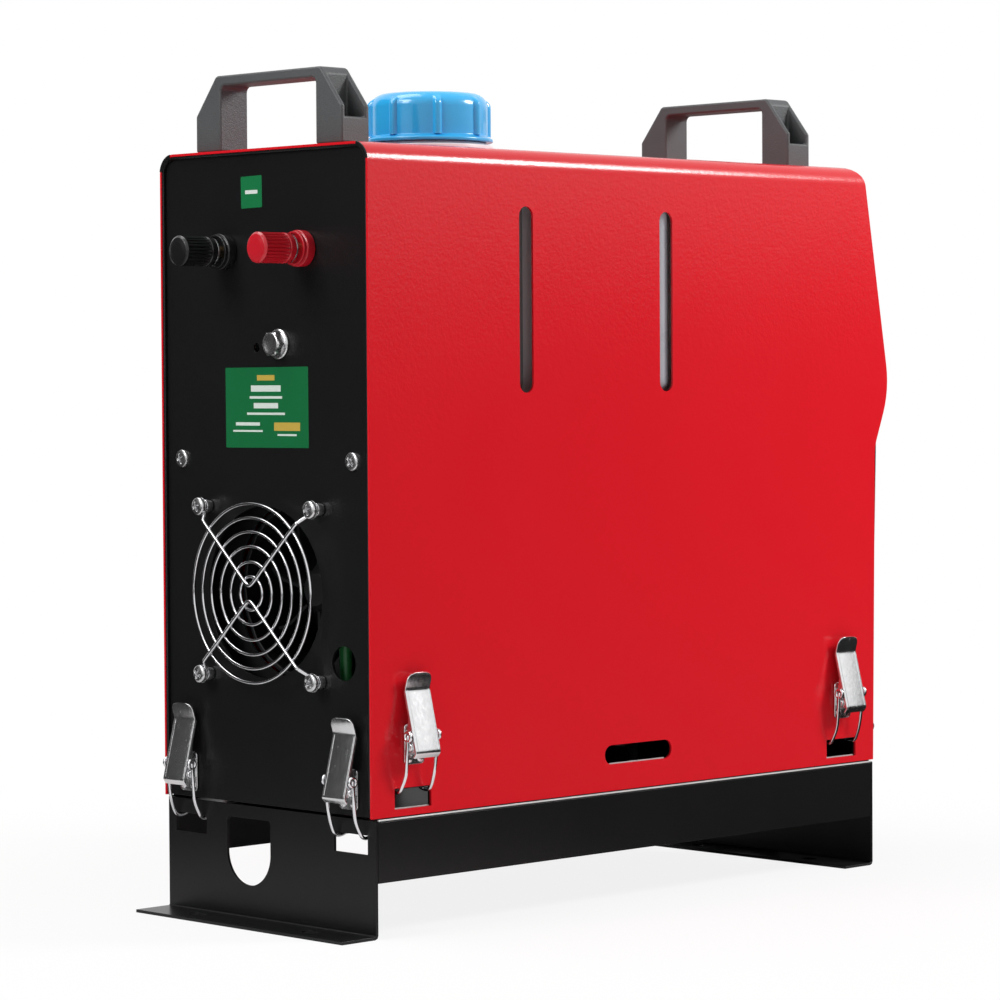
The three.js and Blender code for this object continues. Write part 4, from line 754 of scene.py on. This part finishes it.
def draw_latch(name, origin, out, across, up):
    """Bracket, lever and wire bail of a latch, each on its own body."""
    at = placing(origin, out, up, across)
    made(f"{name}_bracket_plate", latch_bracket(at, out, across), PLATED_STEEL, "housing", f"{name}_bracket")
    made(f"{name}_lever_plate", latch_lever(at), PLATED_STEEL, f"{name}_lever", f"{name}_lever")
    made(f"{name}_bail_wire", latch_bail(at), BRIGHT_WIRE, f"{name}_bail", f"{name}_bail", 60)


def side_plates(outline, reach, at):
    """Two upright plates of the latch's sheet, with their outer faces at the reach to both sides."""
    return [slab(outline, *sorted((s * reach, s * (reach - LATCH.sheet))), 0.2, at) for s in (-1, 1)]


def latch_bracket(at, out, across):
    """Plate on the face, two ears, the pin with a head at each end, and two domed rivets."""
    l = LATCH
    px, pz = l.pivot
    plate = rounded(oblong(-l.plate_width / 2, l.plate_width / 2, *l.plate), 2.0, 4)
    ear = rounded([(0.3, pz - 1.8), (px + 0.6, pz - 1.8), (px + 1.6, pz + 1.4), (px - 1, pz + 2),
                   (0.3, pz + 9)], (0, 1.6, 1.4, 2, 0), 4)
    half, head = l.width / 2, l.pin_head
    pin = rounded([(0, -half - 0.9), (head, -half - 0.9), (head, -half - 0.1), (l.pin, -half - 0.05),
                   (l.pin, half + 0.05), (head, half + 0.1), (head, half + 0.9), (0, half + 0.9)],
                  (0, 0.5, 0, 0, 0, 0, 0.5, 0), 3, False)
    rivet = rounded([(0, 0.8), (2.1, 0.8), (2.1, 1.5), (0, 2.3)], (0, 0.1, 0.4, 0), 3, False)
    return [slab(plate, 0.3, 1.3, 0.2, lambda y, z, x: at(x, z, y)), *side_plates(ear, l.ears / 2, at),
            turned(pin, at(px, pz, 0.0), across, 24),
            *[turned(rivet, at(0.0, pz - 6.0, y), out, 24) for y in l.rivets]]


def latch_lever(at):
    """Bent strip that narrows to a round tab, with cheeks round the pin and rolled side edges."""
    l = LATCH
    px, pz = l.pivot
    top, m = pz + l.throw, l.margin
    bend = rounded([l.lip, l.foot, l.fold, l.tab], (0, 1.9, 2.6, 0), 6, False)
    slope = unit(np.gradient(bend, axis=0))
    bend = bend + 0.5 * np.stack([-slope[:, 1], slope[:, 0]], -1)
    steps = np.concatenate([[0], np.cumsum(np.linalg.norm(np.diff(bend, axis=0), axis=1))])
    even = np.linspace(0, steps[-1], 60)
    line = np.stack([np.interp(even, steps, bend[:, k]) for k in (0, 1)], -1)
    into_tab = np.clip(l.tab_round - (steps[-1] - even), 0, l.tab_round)
    narrowing = l.tab_round - np.sqrt(l.tab_round ** 2 - into_tab ** 2)
    tilt = (l.fold[0] - l.foot[0]) / (l.fold[1] - l.foot[1])

    def skin(z):
        """Inner face of the strip at a height, between its foot and its fold."""
        return l.foot[0] + tilt * (z - l.foot[1]) - 0.5

    crown = top + m + 9
    cheek = rounded([(px - m, pz - m), (skin(pz - m), pz - m), (skin(crown), crown), (px - m, top + m)],
                    (1.8, 0, 0, 1.8), 5)
    z = np.linspace(l.fold[1] - 0.6, l.foot[1] + 1.0, 10)
    edge = np.stack([skin(z) - l.rolled / 2 + 0.6, z], -1)
    middle = l.width / 2 - l.rolled / 2 + 0.05
    grids = [strip(line, l.width - 2 * narrowing, l.sheet, 0.28, at)]
    for side, plate in zip((-1, 1), side_plates(cheek, l.width / 2, at)):
        grids += [plate, strip(edge, l.rolled, l.rolled, l.rolled / 2 - 0.02,
                               lambda u, v, y: at(u, v, y + side * middle), 5)]
    return grids


def latch_bail(at):
    """Spring wire: from the lever's pin out past the cheeks, down, and hooked under the window's edge."""
    l = LATCH
    px, top = l.pivot[0], l.pivot[1] + l.throw
    inside, legs = l.ears / 2 + 0.6, l.width / 2 + l.leg
    spread_legs = l.window / 2 - l.wire - 1.4
    half = [(px, inside, top), (px, legs - 0.7, top), (px - 0.1, legs, top - 0.9),
            (px - 0.6, legs + 0.2, top - 9), (px - 1.9, spread_legs - 0.4, top - 18),
            (px - 4.4, spread_legs, top - 24.4), (px - 6.2, spread_legs, top - 26.5),
            (px - 8.6, spread_legs, top - 27), (px - 11.4, spread_legs - 0.4, top - 26.2),
            (px - 12.8, spread_legs - 2.2, top - 24.6)]
    line = through(half + [(x, -y, z) for x, y, z in half[::-1]], 7)
    turn = np.linspace(0, TAU, 24, endpoint=False)
    eyes = [tube(at(px + l.eye * np.cos(turn), top + l.eye * np.sin(turn), s * (legs + 0.1)),
                 l.wire * 0.9, 10, True) for s in (-1, 1)]
    return [tube(at(line[:, 0], line[:, 2], line[:, 1]), l.wire, 12), *eyes]


# ---- front: outlet, display, buttons
VENT = Sizes(radius=50.0, bore=38.5, proud=7.0, vanes=5, vane=1.6, ring=3.0, depth=11.0, slant=3.4)
BUTTON = Sizes(radius=5.0, proud=1.6, depth=6.0, dish=3.6)
SCREEN = Sizes(width=62.0, height=38.0, y=-9.0, depth=1.0)


def joint(name):
    return next(j for j in frame["joints"] if j["name"] == name)


def outlet():
    """Round bezel of the warm air outlet, with a louvre inside it."""
    v = VENT
    middle, out = np.array(joint("louvre_turn")["pos_m"]) * 1000, unit(joint("louvre_turn")["axis"])
    throat = v.bore + v.ring
    bezel = rounded([(v.bore, -14), (throat, -14), (throat, 0.3), (v.radius, 0.3),
                     (v.radius, v.proud - 4), (v.radius - 4, v.proud), (throat, v.proud),
                     (v.bore, v.proud - 2)], (0.4, 0.4, 0, 0.5, 2.4, 3.2, 1.0, 1.0), 5)
    made("outlet_bezel_moulding", [turned(bezel, middle, out, 120, True)], BLACK_MOULDING, "housing",
         "outlet_bezel")
    made("outlet_louvre_moulding", louvre(middle, out), BLACK_MOULDING, "louvre", "outlet_louvre")


def louvre(middle, out):
    """Ring with slanting vanes, each bowed by a half sine over its depth, and one upright rib."""
    v = VENT
    up = unit(np.cross(out, Y))
    radius, x0, x1 = v.bore - 0.4, -v.depth, v.proud - 3.0
    rim = rounded(oblong(radius - v.ring, radius, x0, x1), 0.6, 3)
    grids = [turned(rim, middle, out, 120, True)]
    pitch = 2 * radius / (v.vanes + 1)
    at = placing(middle, out, up, Y)
    t = np.linspace(0, 1, 8)[:, None]
    for i in range(v.vanes):
        z = -radius + pitch * (i + 1)
        reach = math.sqrt(radius ** 2 - z ** 2) - v.ring * 0.6
        start = np.array([x0 + 2, z + v.slant + v.vane / 2])
        end = np.array([x1 - 1, z - v.slant + v.vane / 2])
        path = start * (1 - t) + end * t
        path[:, 1] += 0.5 * np.sin(math.pi * t[:, 0])
        grids.append(strip(path, 2 * reach, v.vane * 0.9, 0.5, at))
    height = np.linspace(-radius + 1.5, radius - 1.5, 6)
    rib = np.stack([np.zeros(6), height], -1)
    depth_at = (x0 + x1) / 2 + 0.5
    grids.append(strip(rib, x1 - x0 - 5, 2.0, 0.5, lambda u, w, y: at(y + depth_at, w, u)))
    return grids


def display():
    """Four round push buttons, each a turned form with a dished top, and the screen's glass."""
    b = BUTTON
    out = -unit(joint("button_1_press")["axis"])
    total = b.proud + b.depth
    dish = [(r, total / 2 - 0.5 + 0.5 * (r / b.dish) ** 2) for r in np.linspace(b.dish, 0, 8)]
    line = np.concatenate([
        rounded([(0, -total / 2), (b.radius, -total / 2), (b.radius, total / 2), (b.dish + 0.1, total / 2)],
                (0, 0.3, 0.8, 0), 5, False), dish])
    places = []
    for i in range(1, 5):
        low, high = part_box(f"button_{i}")
        places.append((np.array(low) + np.array(high)) * 500)
        made(f"button_{i}_moulding", [turned(line, places[-1], out, 48)], GREY_MOULDING,
             f"button_{i}", f"button_{i}")
    centre = np.mean(places, axis=0)
    face = centre + out * (total / 2 - b.proud)
    glass = face + Y * (SCREEN.y - centre[1]) - out * SCREEN.depth
    outline = rounded(box_outline(SCREEN.width / 2 - 0.3, SCREEN.height / 2 - 0.3), 1.8, 5)
    at = placing(glass, Y, unit(np.cross(out, Y)), out)
    made("screen_glass", [slab(outline, 0.02, 0.6, 0.15, at)], SCREEN_GLASS, "housing")


# ---- screws, bolt, stickers
SCREW = Sizes(radius=4.4, guard_height=2.6, panel_height=2.0, washer=4.6,
              places=((63.0, 225.6), (-63.0, 225.6)))
BOLT = Sizes(place=(-10.5, 281.6), washer=7.3, head=6.4, flat=5.5)
INFO = Sizes(place=(-1.1, 251.0), size=(61.0, 39.0), tilt=-0.3, ground=(0.001, 0.135, 0.038),
             white=(0.66, 0.74, 0.68), gold=(0.55, 0.38, 0.06),
             white_bars=((0.5, 9.2, 11, 1.5), (0.5, 4.9, 12, 0.6), (0.5, 0.9, 9, 1.3),
                         (0.5, -3.0, 14, 0.55), (14.0, -8.0, 9, 0.8), (14.0, -11.4, 11, 0.45),
                         (-15.0, -13.2, 7, 0.45)),
             gold_bars=((-15.0, -9.2, 9.5, 2.0), (0.5, 14.4, 6.5, 1.3)))
RATING = Sizes(place=(9.0, 355.5), size=(15.5, 15.5), tilt=-1.0, ground=(0.002, 0.17, 0.050),
               white=(0.72, 0.78, 0.74), white_bars=((0, 0, 4.6, 0.9),))


def screw_head(place, height, turn):
    """Pan head with a cross recess. Its height is a low dome, less a cross whose arms are bands
    |x| or |y| under a sixth of the radius, smoothed at their edges."""
    radius = SCREW.radius
    across = unit(np.cross(BACKWARDS, Z))
    up = np.cross(BACKWARDS, across)
    r = np.concatenate([np.linspace(0, 0.62, 18), np.linspace(0.66, 1.0, 10)])[:, None] * radius
    a = np.linspace(0, TAU, 72, endpoint=False)[None]
    x, y = r * np.cos(a), r * np.sin(a)
    dome = height * (0.42 + 0.58 * np.sqrt(np.clip(1 - (r / radius) ** 2.6, 0, 1)))
    narrow = np.minimum(np.abs(x), np.abs(y))
    arm = (np.clip((radius * 0.16 - narrow) / (radius * 0.07), 0, 1)
           * np.clip((radius * 0.60 - r) / (radius * 0.10), 0, 1))
    h = dome - height * 0.55 * arm
    c, s = math.cos(turn), math.sin(turn)
    at = placing(place, c * across + s * up, c * up - s * across, BACKWARDS)
    top, rim = at(x, y, h), at(x[-1], y[-1], 0.0)
    return np.concatenate([top, rim[None], np.repeat(rim.mean(0)[None, None], 72, 1)]), False, True


def hex_bolt():
    """Flange bolt: a round washer face, then a six-sided head with a chamfered, slightly sunk top."""
    b = BOLT
    line = np.concatenate([
        rounded([(0, 0), (b.washer, 0), (b.washer, 0.9), (6.6, 1.6)], (0, 0.3, 0.4, 0), 3, False),
        [(b.head, 1.65), (b.head, 1.75), (b.head, 3.2), (b.head, 5.3), (5.5, 5.75), (5.0, 6.05),
         (4.5, 6.1), (4.0, 5.8), (0, 5.75)]])

    def six(angle, height):
        return (six_sided(angle, b.flat) - b.head) * ((height > 1.7) & (height < 5.5))

    return turned(line, shop([PANEL, *b.place]), BACKWARDS, 96, False, six)


def sticker(name, label, material):
    """Thin sticker on the back panel, turned a little in its own plane."""
    c, s = math.cos(math.radians(label.tilt)), math.sin(math.radians(label.tilt))
    at = placing(shop([PANEL, *label.place]), c * Y + s * Z, c * Z - s * Y, BACKWARDS)
    outline = rounded(box_outline(label.size[0] / 2, label.size[1] / 2), 0.6, 3)
    made(name, [slab(outline, 0.01, 0.22, 0.05, at)], material, "housing")


def small_parts():
    """Screws of the guard and of the panel, the flange bolt and two stickers."""
    g, s = GUARD, SCREW
    top = g.spacer + 2 * g.spoke + 0.15
    washer = rounded(oblong(0, s.washer, top - 0.5, top), (0, 0.2, 0.2, 0), 2, False)
    grids = []
    for i, (a, b) in enumerate(((1, 1), (1, -1), (-1, 1), (-1, -1))):
        place = shop([PANEL, g.y + a * g.half, g.z + b * g.half])
        grids += [turned(washer, place, BACKWARDS, 32),
                  screw_head(place + top * BACKWARDS, s.guard_height, 0.4 + 0.7 * i)]
    for i, place in enumerate(s.places):
        grids.append(screw_head(shop([PANEL, *place]), s.panel_height, 0.3 + 0.5 * i))
    made("panel_screws", grids, SCREW_STEEL, "housing")
    made("flange_bolt", [hex_bolt()], SCREW_STEEL, "housing")
    sticker("rating_sticker", RATING, printed("green_rating_sticker", RATING.ground, RATING.place,
                                              (RATING.white_bars, RATING.white)))
    sticker("data_sticker", INFO, printed("green_data_sticker", INFO.ground, INFO.place,
                                          (INFO.white_bars, INFO.white), (INFO.gold_bars, INFO.gold)))


# ---- folds, ledges, painted glints and a sheet of painted shade
CORNER = Sizes(bend=9.5, top=376.3, half=76.75, sheet=1.35, sweep=(8, 80))
LIP = Sizes(thickness=1.1, low=62.0, step=12.0)
SIGHT = Sizes(low=254.0, high=356.0, width=17.0, y=62.0,
              ribs=(("first", 104.3, 70.5, SHADED_TANK), ("second", 206.0, 73.8, LIT_TANK)))
# painted glints: light bars at the foot of each hole in the cover's sides
HOLE_GLINT = Sizes(y=75.2, height=1.6, holes=((26.6, 22.6, 60.4), (339.9, 22.6, 60.4), (182.3, 40.0, 70.3)))
LEDGE = Sizes(z=56.5, half=76.75, ends=(3.9, 364.3))
# dark sheet put round the inlet as painted shade
INLET_SHADE = Sizes(x=(20.6, 22.0), z=161.2, bore=43.6, y=(-36.0, 73.5), rise=(88.0, 222.0))


def panel_corners():
    """Folded corners of the back panel, lapped over the cover's bends: a rounded strip carried round
    each bend, its middle at radius * (cos a, sin a) from the bend's centre."""
    c = CORNER
    section = rounded(oblong(c.bend - 1.9, c.bend + 0.15, 1.6, 2.3), 0.3, 3)
    r, h = section[:, 0], section[:, 1]
    a = np.radians(np.linspace(*c.sweep, 25))[:, None]
    grids = [bar(stacked(PANEL - h, side * (c.half - c.bend) + side * np.cos(a) * r,
                         c.top - c.bend + np.sin(a) * r)) for side in (-1, 1)]
    made("back_panel_corners", grids, BLACK_COAT, "housing")


def panel_lip():
    """Turned edge of the back panel: an eased strip that follows the panel's outline just inside the
    cover and comes out level with the cover's edge."""
    c, l = CORNER, LIP
    inset = c.sheet + l.thickness / 2
    half, top, bend = c.half - inset, c.top - inset, c.bend - inset
    path = rounded([(-half, l.low), (-half, top), (half, top), (half, l.low)], (0, bend, bend, 0), 12, False)
    even = [path[0]]
    for a, b in zip(path[:-1], path[1:]):
        count = max(1, int(np.linalg.norm(b - a) / l.step))
        even += [a + (b - a) * k / count for k in range(1, count + 1)]
    depth = PANEL - 0.25
    at = placing(shop([PANEL - 0.15 - depth / 2, 0, 0]), Y, Z, X)
    made("back_panel_lip", [strip(np.array(even), depth, l.thickness, 0.38, at)], BLACK_COAT, "housing",
         sharp=50)


def sight_ribs():
    """Upright ribs of the tank behind the level slots: half ellipses, the first in the shaded copy of the
    tank shell and the second in the lit copy, painted shade and painted light. Each swells from its ends as
    sqrt(1 - (1 - t)^2) over half its width."""
    g = SIGHT
    a = np.linspace(0, math.pi, 21)
    z = np.linspace(g.low, g.high, 40)[:, None]
    end = np.clip(np.minimum(z - g.low, g.high - z) / (g.width / 2), 0.02, 1)
    swell = np.sqrt(1 - (1 - end) ** 2)
    for label, x, out, tone in g.ribs:
        across, reach = g.width / 2 * np.cos(a), (out - g.y) * np.sin(a)
        grids = [bar(stacked(x + across * swell, side * (g.y + reach * swell), z)) for side in (-1, 1)]
        made(f"{label}_sight_rib", grids, tone, "housing")


def hole_edge_glints():
    """Painted glints at the foot of each hole in the cover's sides: thin light grey bars where the inner
    sheet's edges catch the light.
    """
    e = HOLE_GLINT
    grids = []
    for x, length, z in e.holes:
        path = [(x - length / 2 + length * k / 6, z) for k in range(7)]
        grids += [strip(path, 0.5, e.height, 0.1, placing(shop([0, side * e.y, 0]), X, Z, Y))
                  for side in (-1, 1)]
    made("hole_edge_glint_bars", grids, PAINTED_HIGHLIGHT, "housing")


def ledges():
    """Rolled lip along the top of each side skirt: a narrow bar whose upper edge is eased, in light grey as
    a painted highlight.
    """
    l = LEDGE
    section = rounded(oblong(-0.5, 0.5, -0.55, 0.25), (0.1, 0.15, 0.35, 0.1), 4)
    x = np.linspace(*l.ends, 12)[:, None]
    grids = [bar(stacked(x, side * (l.half + section[:, 0]), l.z + section[:, 1])) for side in (-1, 1)]
    made("skirt_ledges", grids, PAINTED_HIGHLIGHT, "housing")


def inlet_shade_sheet():
    """Dark sheet of painted shade round the casing's inlet, which hides the inside of the cover seen through
    the guard: a ring whose inside is a circle and whose outside, for each angle, is where the ray from the
    middle meets a rectangle."""
    b = INLET_SHADE
    a = np.linspace(0, TAU, 96, endpoint=False)
    c, s = np.cos(a), np.sin(a)
    to_y = np.where(c > 0, b.y[1], -b.y[0]) / np.maximum(np.abs(c), 1e-6)
    to_z = np.where(s > 0, b.rise[1] - b.z, b.z - b.rise[0]) / np.maximum(np.abs(s), 1e-6)
    outer = np.maximum(np.minimum(to_y, to_z), b.bore + 0.5)
    rows = [(b.bore, b.x[0]), (outer, b.x[0]), (outer, b.x[1]), (b.bore, b.x[1])]
    grid = np.stack([stacked(x, r * c, b.z + r * s) for r, x in rows])
    made("inlet_shade_sheet", [(shop(grid), True, True)], BLACK_MOULDING, "housing")


# ---- fuel hose and line
HOSE = ((44, -45, 218.2), (44, -45, 214.2), (39, -45, 206.2), (27, -45, 190.2), (14, -45, 160.2),
        (13, -45, 126.2), (15, -46, 100), (26, -49, 81), (49, -50, 78), (53.7, -50, 78))
LINE = ((140.3, -50, 78), (146.3, -50, 78), (168.3, -55, 83), (192, -56, 94), (211, -50, 102),
        (223, -38, 102), (229, -26, 102), (230, -10, 102), (230, -4.8, 102))
HOSE_RADIUS, LINE_RADIUS = 3.2, 1.95


def fuel_lines():
    """Green hose from the tank past the hose hole to the pump, and the thin line on to the burner."""
    made("fuel_hose_rubber", [tube(shop(through(HOSE, 10)), HOSE_RADIUS, 20)], HOSE_RUBBER, "housing",
         "fuel_hose", 60)
    made("delivery_line_nylon", [tube(shop(through(LINE, 8)), LINE_RADIUS, 14)], NYLON_LINE, "housing",
         "delivery_line", 60)


# ---- studio
FLOOR = Sizes(half=12.0, tone=0.92, rough=0.9, specular=0.1, near=0.16, far=0.55, near_glow=0.86)
SKY_LEVEL = 0.25
LAMPS = {  # place, aim, width of a square, watts
    "key": ((0.84, -0.88, 0.93), (0.10, -0.05, 0.36), 0.38, 13.5),
    "top": ((-0.45, 0.45, 1.65), (-0.05, 0.0, 0.36), 0.8, 9.0),
    "fill": ((-1.9, 0.25, 1.45), (-0.1, 0, 0.34), 0.9, 22.0),
}
CARDS = {  # direction, half width, near and far reach, top, tone
    "back_card": ((-0.70, 0.71), 1.1, (0.335, 1.5), 1.5, 0.055),
    "side_card": ((0.70, -0.71), 1.5, (0.14, 1.7), 0.40, 0.015),
}


def glow(tree, tone):
    return wire(tree, "Emission", {"Color": grey(tone), "Strength": 1.0}).outputs[0]


def surface(tree, output, shader):
    tree.links.new(shader, tree.nodes[output].inputs["Surface"])


def straight_view(tree):
    """Light Path outputs, and a mask of rays from the camera, also through glass."""
    path = wire(tree, "LightPath").outputs
    return path, calc(tree, "MAXIMUM", path["Is Camera Ray"], path["Is Transmission Ray"])


def studio_floor():
    """Pale floor that keeps the shadow near the heater and turns to plain white away from it."""
    f = FLOOR
    mesh = bpy.data.meshes.new("floor")
    mesh.from_pydata([(x, y, 0) for x, y in box_outline(f.half, f.half)], [], [(0, 1, 2, 3)])
    floor = bpy.data.objects.new("floor", mesh)
    bpy.context.scene.collection.objects.link(floor)
    material, tree, bsdf = blank("studio_floor")
    fill_in(tree, bsdf, {"Base Color": grey(f.tone), "Roughness": f.rough, "Specular IOR Level": f.specular})
    away = wire(tree, "VectorMath", {0: here(tree)}, operation="LENGTH").outputs["Value"]
    span = wire(tree, "MapRange", {"Value": away, "From Min": f.near, "From Max": f.far,
                                   "To Min": f.near_glow}, interpolation_type="SMOOTHSTEP")
    share = calc(tree, "MULTIPLY", straight_view(tree)[1], span.outputs["Result"])
    mix = wire(tree, "MixShader", {0: share, 1: bsdf.outputs[0], 2: glow(tree, 1.0)})
    surface(tree, "Material Output", mix.outputs[0])
    mesh.materials.append(material)


def backdrop():
    """White behind everything for camera, glass and reflections; a plain low level as light."""
    world = bpy.data.worlds.new("studio")
    bpy.context.scene.world = world
    world.use_nodes = True
    tree = world.node_tree
    lit = tree.nodes["Background"]
    fill_in(tree, lit, {"Color": grey(1), "Strength": SKY_LEVEL})
    white = wire(tree, "Background", {"Color": grey(1), "Strength": 1.0})
    path, straight = straight_view(tree)
    seen = calc(tree, "MAXIMUM", straight, path["Is Glossy Ray"])
    mix = wire(tree, "MixShader", {0: seen, 1: lit.outputs[0], 2: white.outputs[0]})
    surface(tree, "World Output", mix.outputs[0])


def soft_lamp(name, place, aim, width, power):
    """Square area lamp turned to its aim."""
    data = bpy.data.lights.new(name, "AREA")
    data.shape = "RECTANGLE"
    data.size = data.size_y = width
    data.energy = power
    lamp = bpy.data.objects.new(name, data)
    lamp.location = place
    lamp.rotation_euler = (Vector(aim) - Vector(place)).to_track_quat("-Z", "Y").to_euler()
    bpy.context.scene.collection.objects.link(lamp)


def dark_card(name, toward, half_width, reach, top, tone):
    """Dark card for reflections only, as a studio hangs for bright metal: it lies on the floor from
    the near reach to the far one, then stands up. Its section is carried sideways over its width."""
    near, far = reach
    section = rounded([(near, 0.002), (far, 0.002), (far, top)], (0, 0.25, 0), 8, False)
    toward = np.array([*toward, 0.0])
    u = np.linspace(-half_width, half_width, 7)[None, :, None]
    points = section[:, None, :1] * toward + u * np.cross(Z, toward) + section[:, None, 1:] * Z
    faces = grid_faces(len(section), 7, False, False, 0)
    mesh = bpy.data.meshes.new(name)
    mesh.from_pydata(points.reshape(-1, 3).tolist(), [], faces.tolist())
    material, tree, bsdf = blank(f"{name}_felt")
    tree.nodes.remove(bsdf)
    surface(tree, "Material Output", glow(tree, tone))
    mesh.materials.append(material)
    card = bpy.data.objects.new(name, mesh)
    card.visible_camera = card.visible_diffuse = card.visible_shadow = card.visible_transmission = False
    bpy.context.scene.collection.objects.link(card)


# ---- making it all
set_camera()
for node, (finish, edge) in EASED.items():
    dressed(node, finish, edge)
fan_guard()
terminal("black", TERMINAL.y, BLACK_KNOB)
terminal("red", -TERMINAL.y, RED_KNOB)
filler_cap()
for place in latch_places():
    draw_latch(*place)
outlet()
display()
small_parts()
panel_corners()
panel_lip()
sight_ribs()
hole_edge_glints()
ledges()
inlet_shade_sheet()
fuel_lines()
studio_floor()
backdrop()
for name, settings in LAMPS.items():
    soft_lamp(name, *settings)
bpy.context.scene.view_settings.view_transform = "Standard"
for name, settings in CARDS.items():
    dark_card(name, *settings)
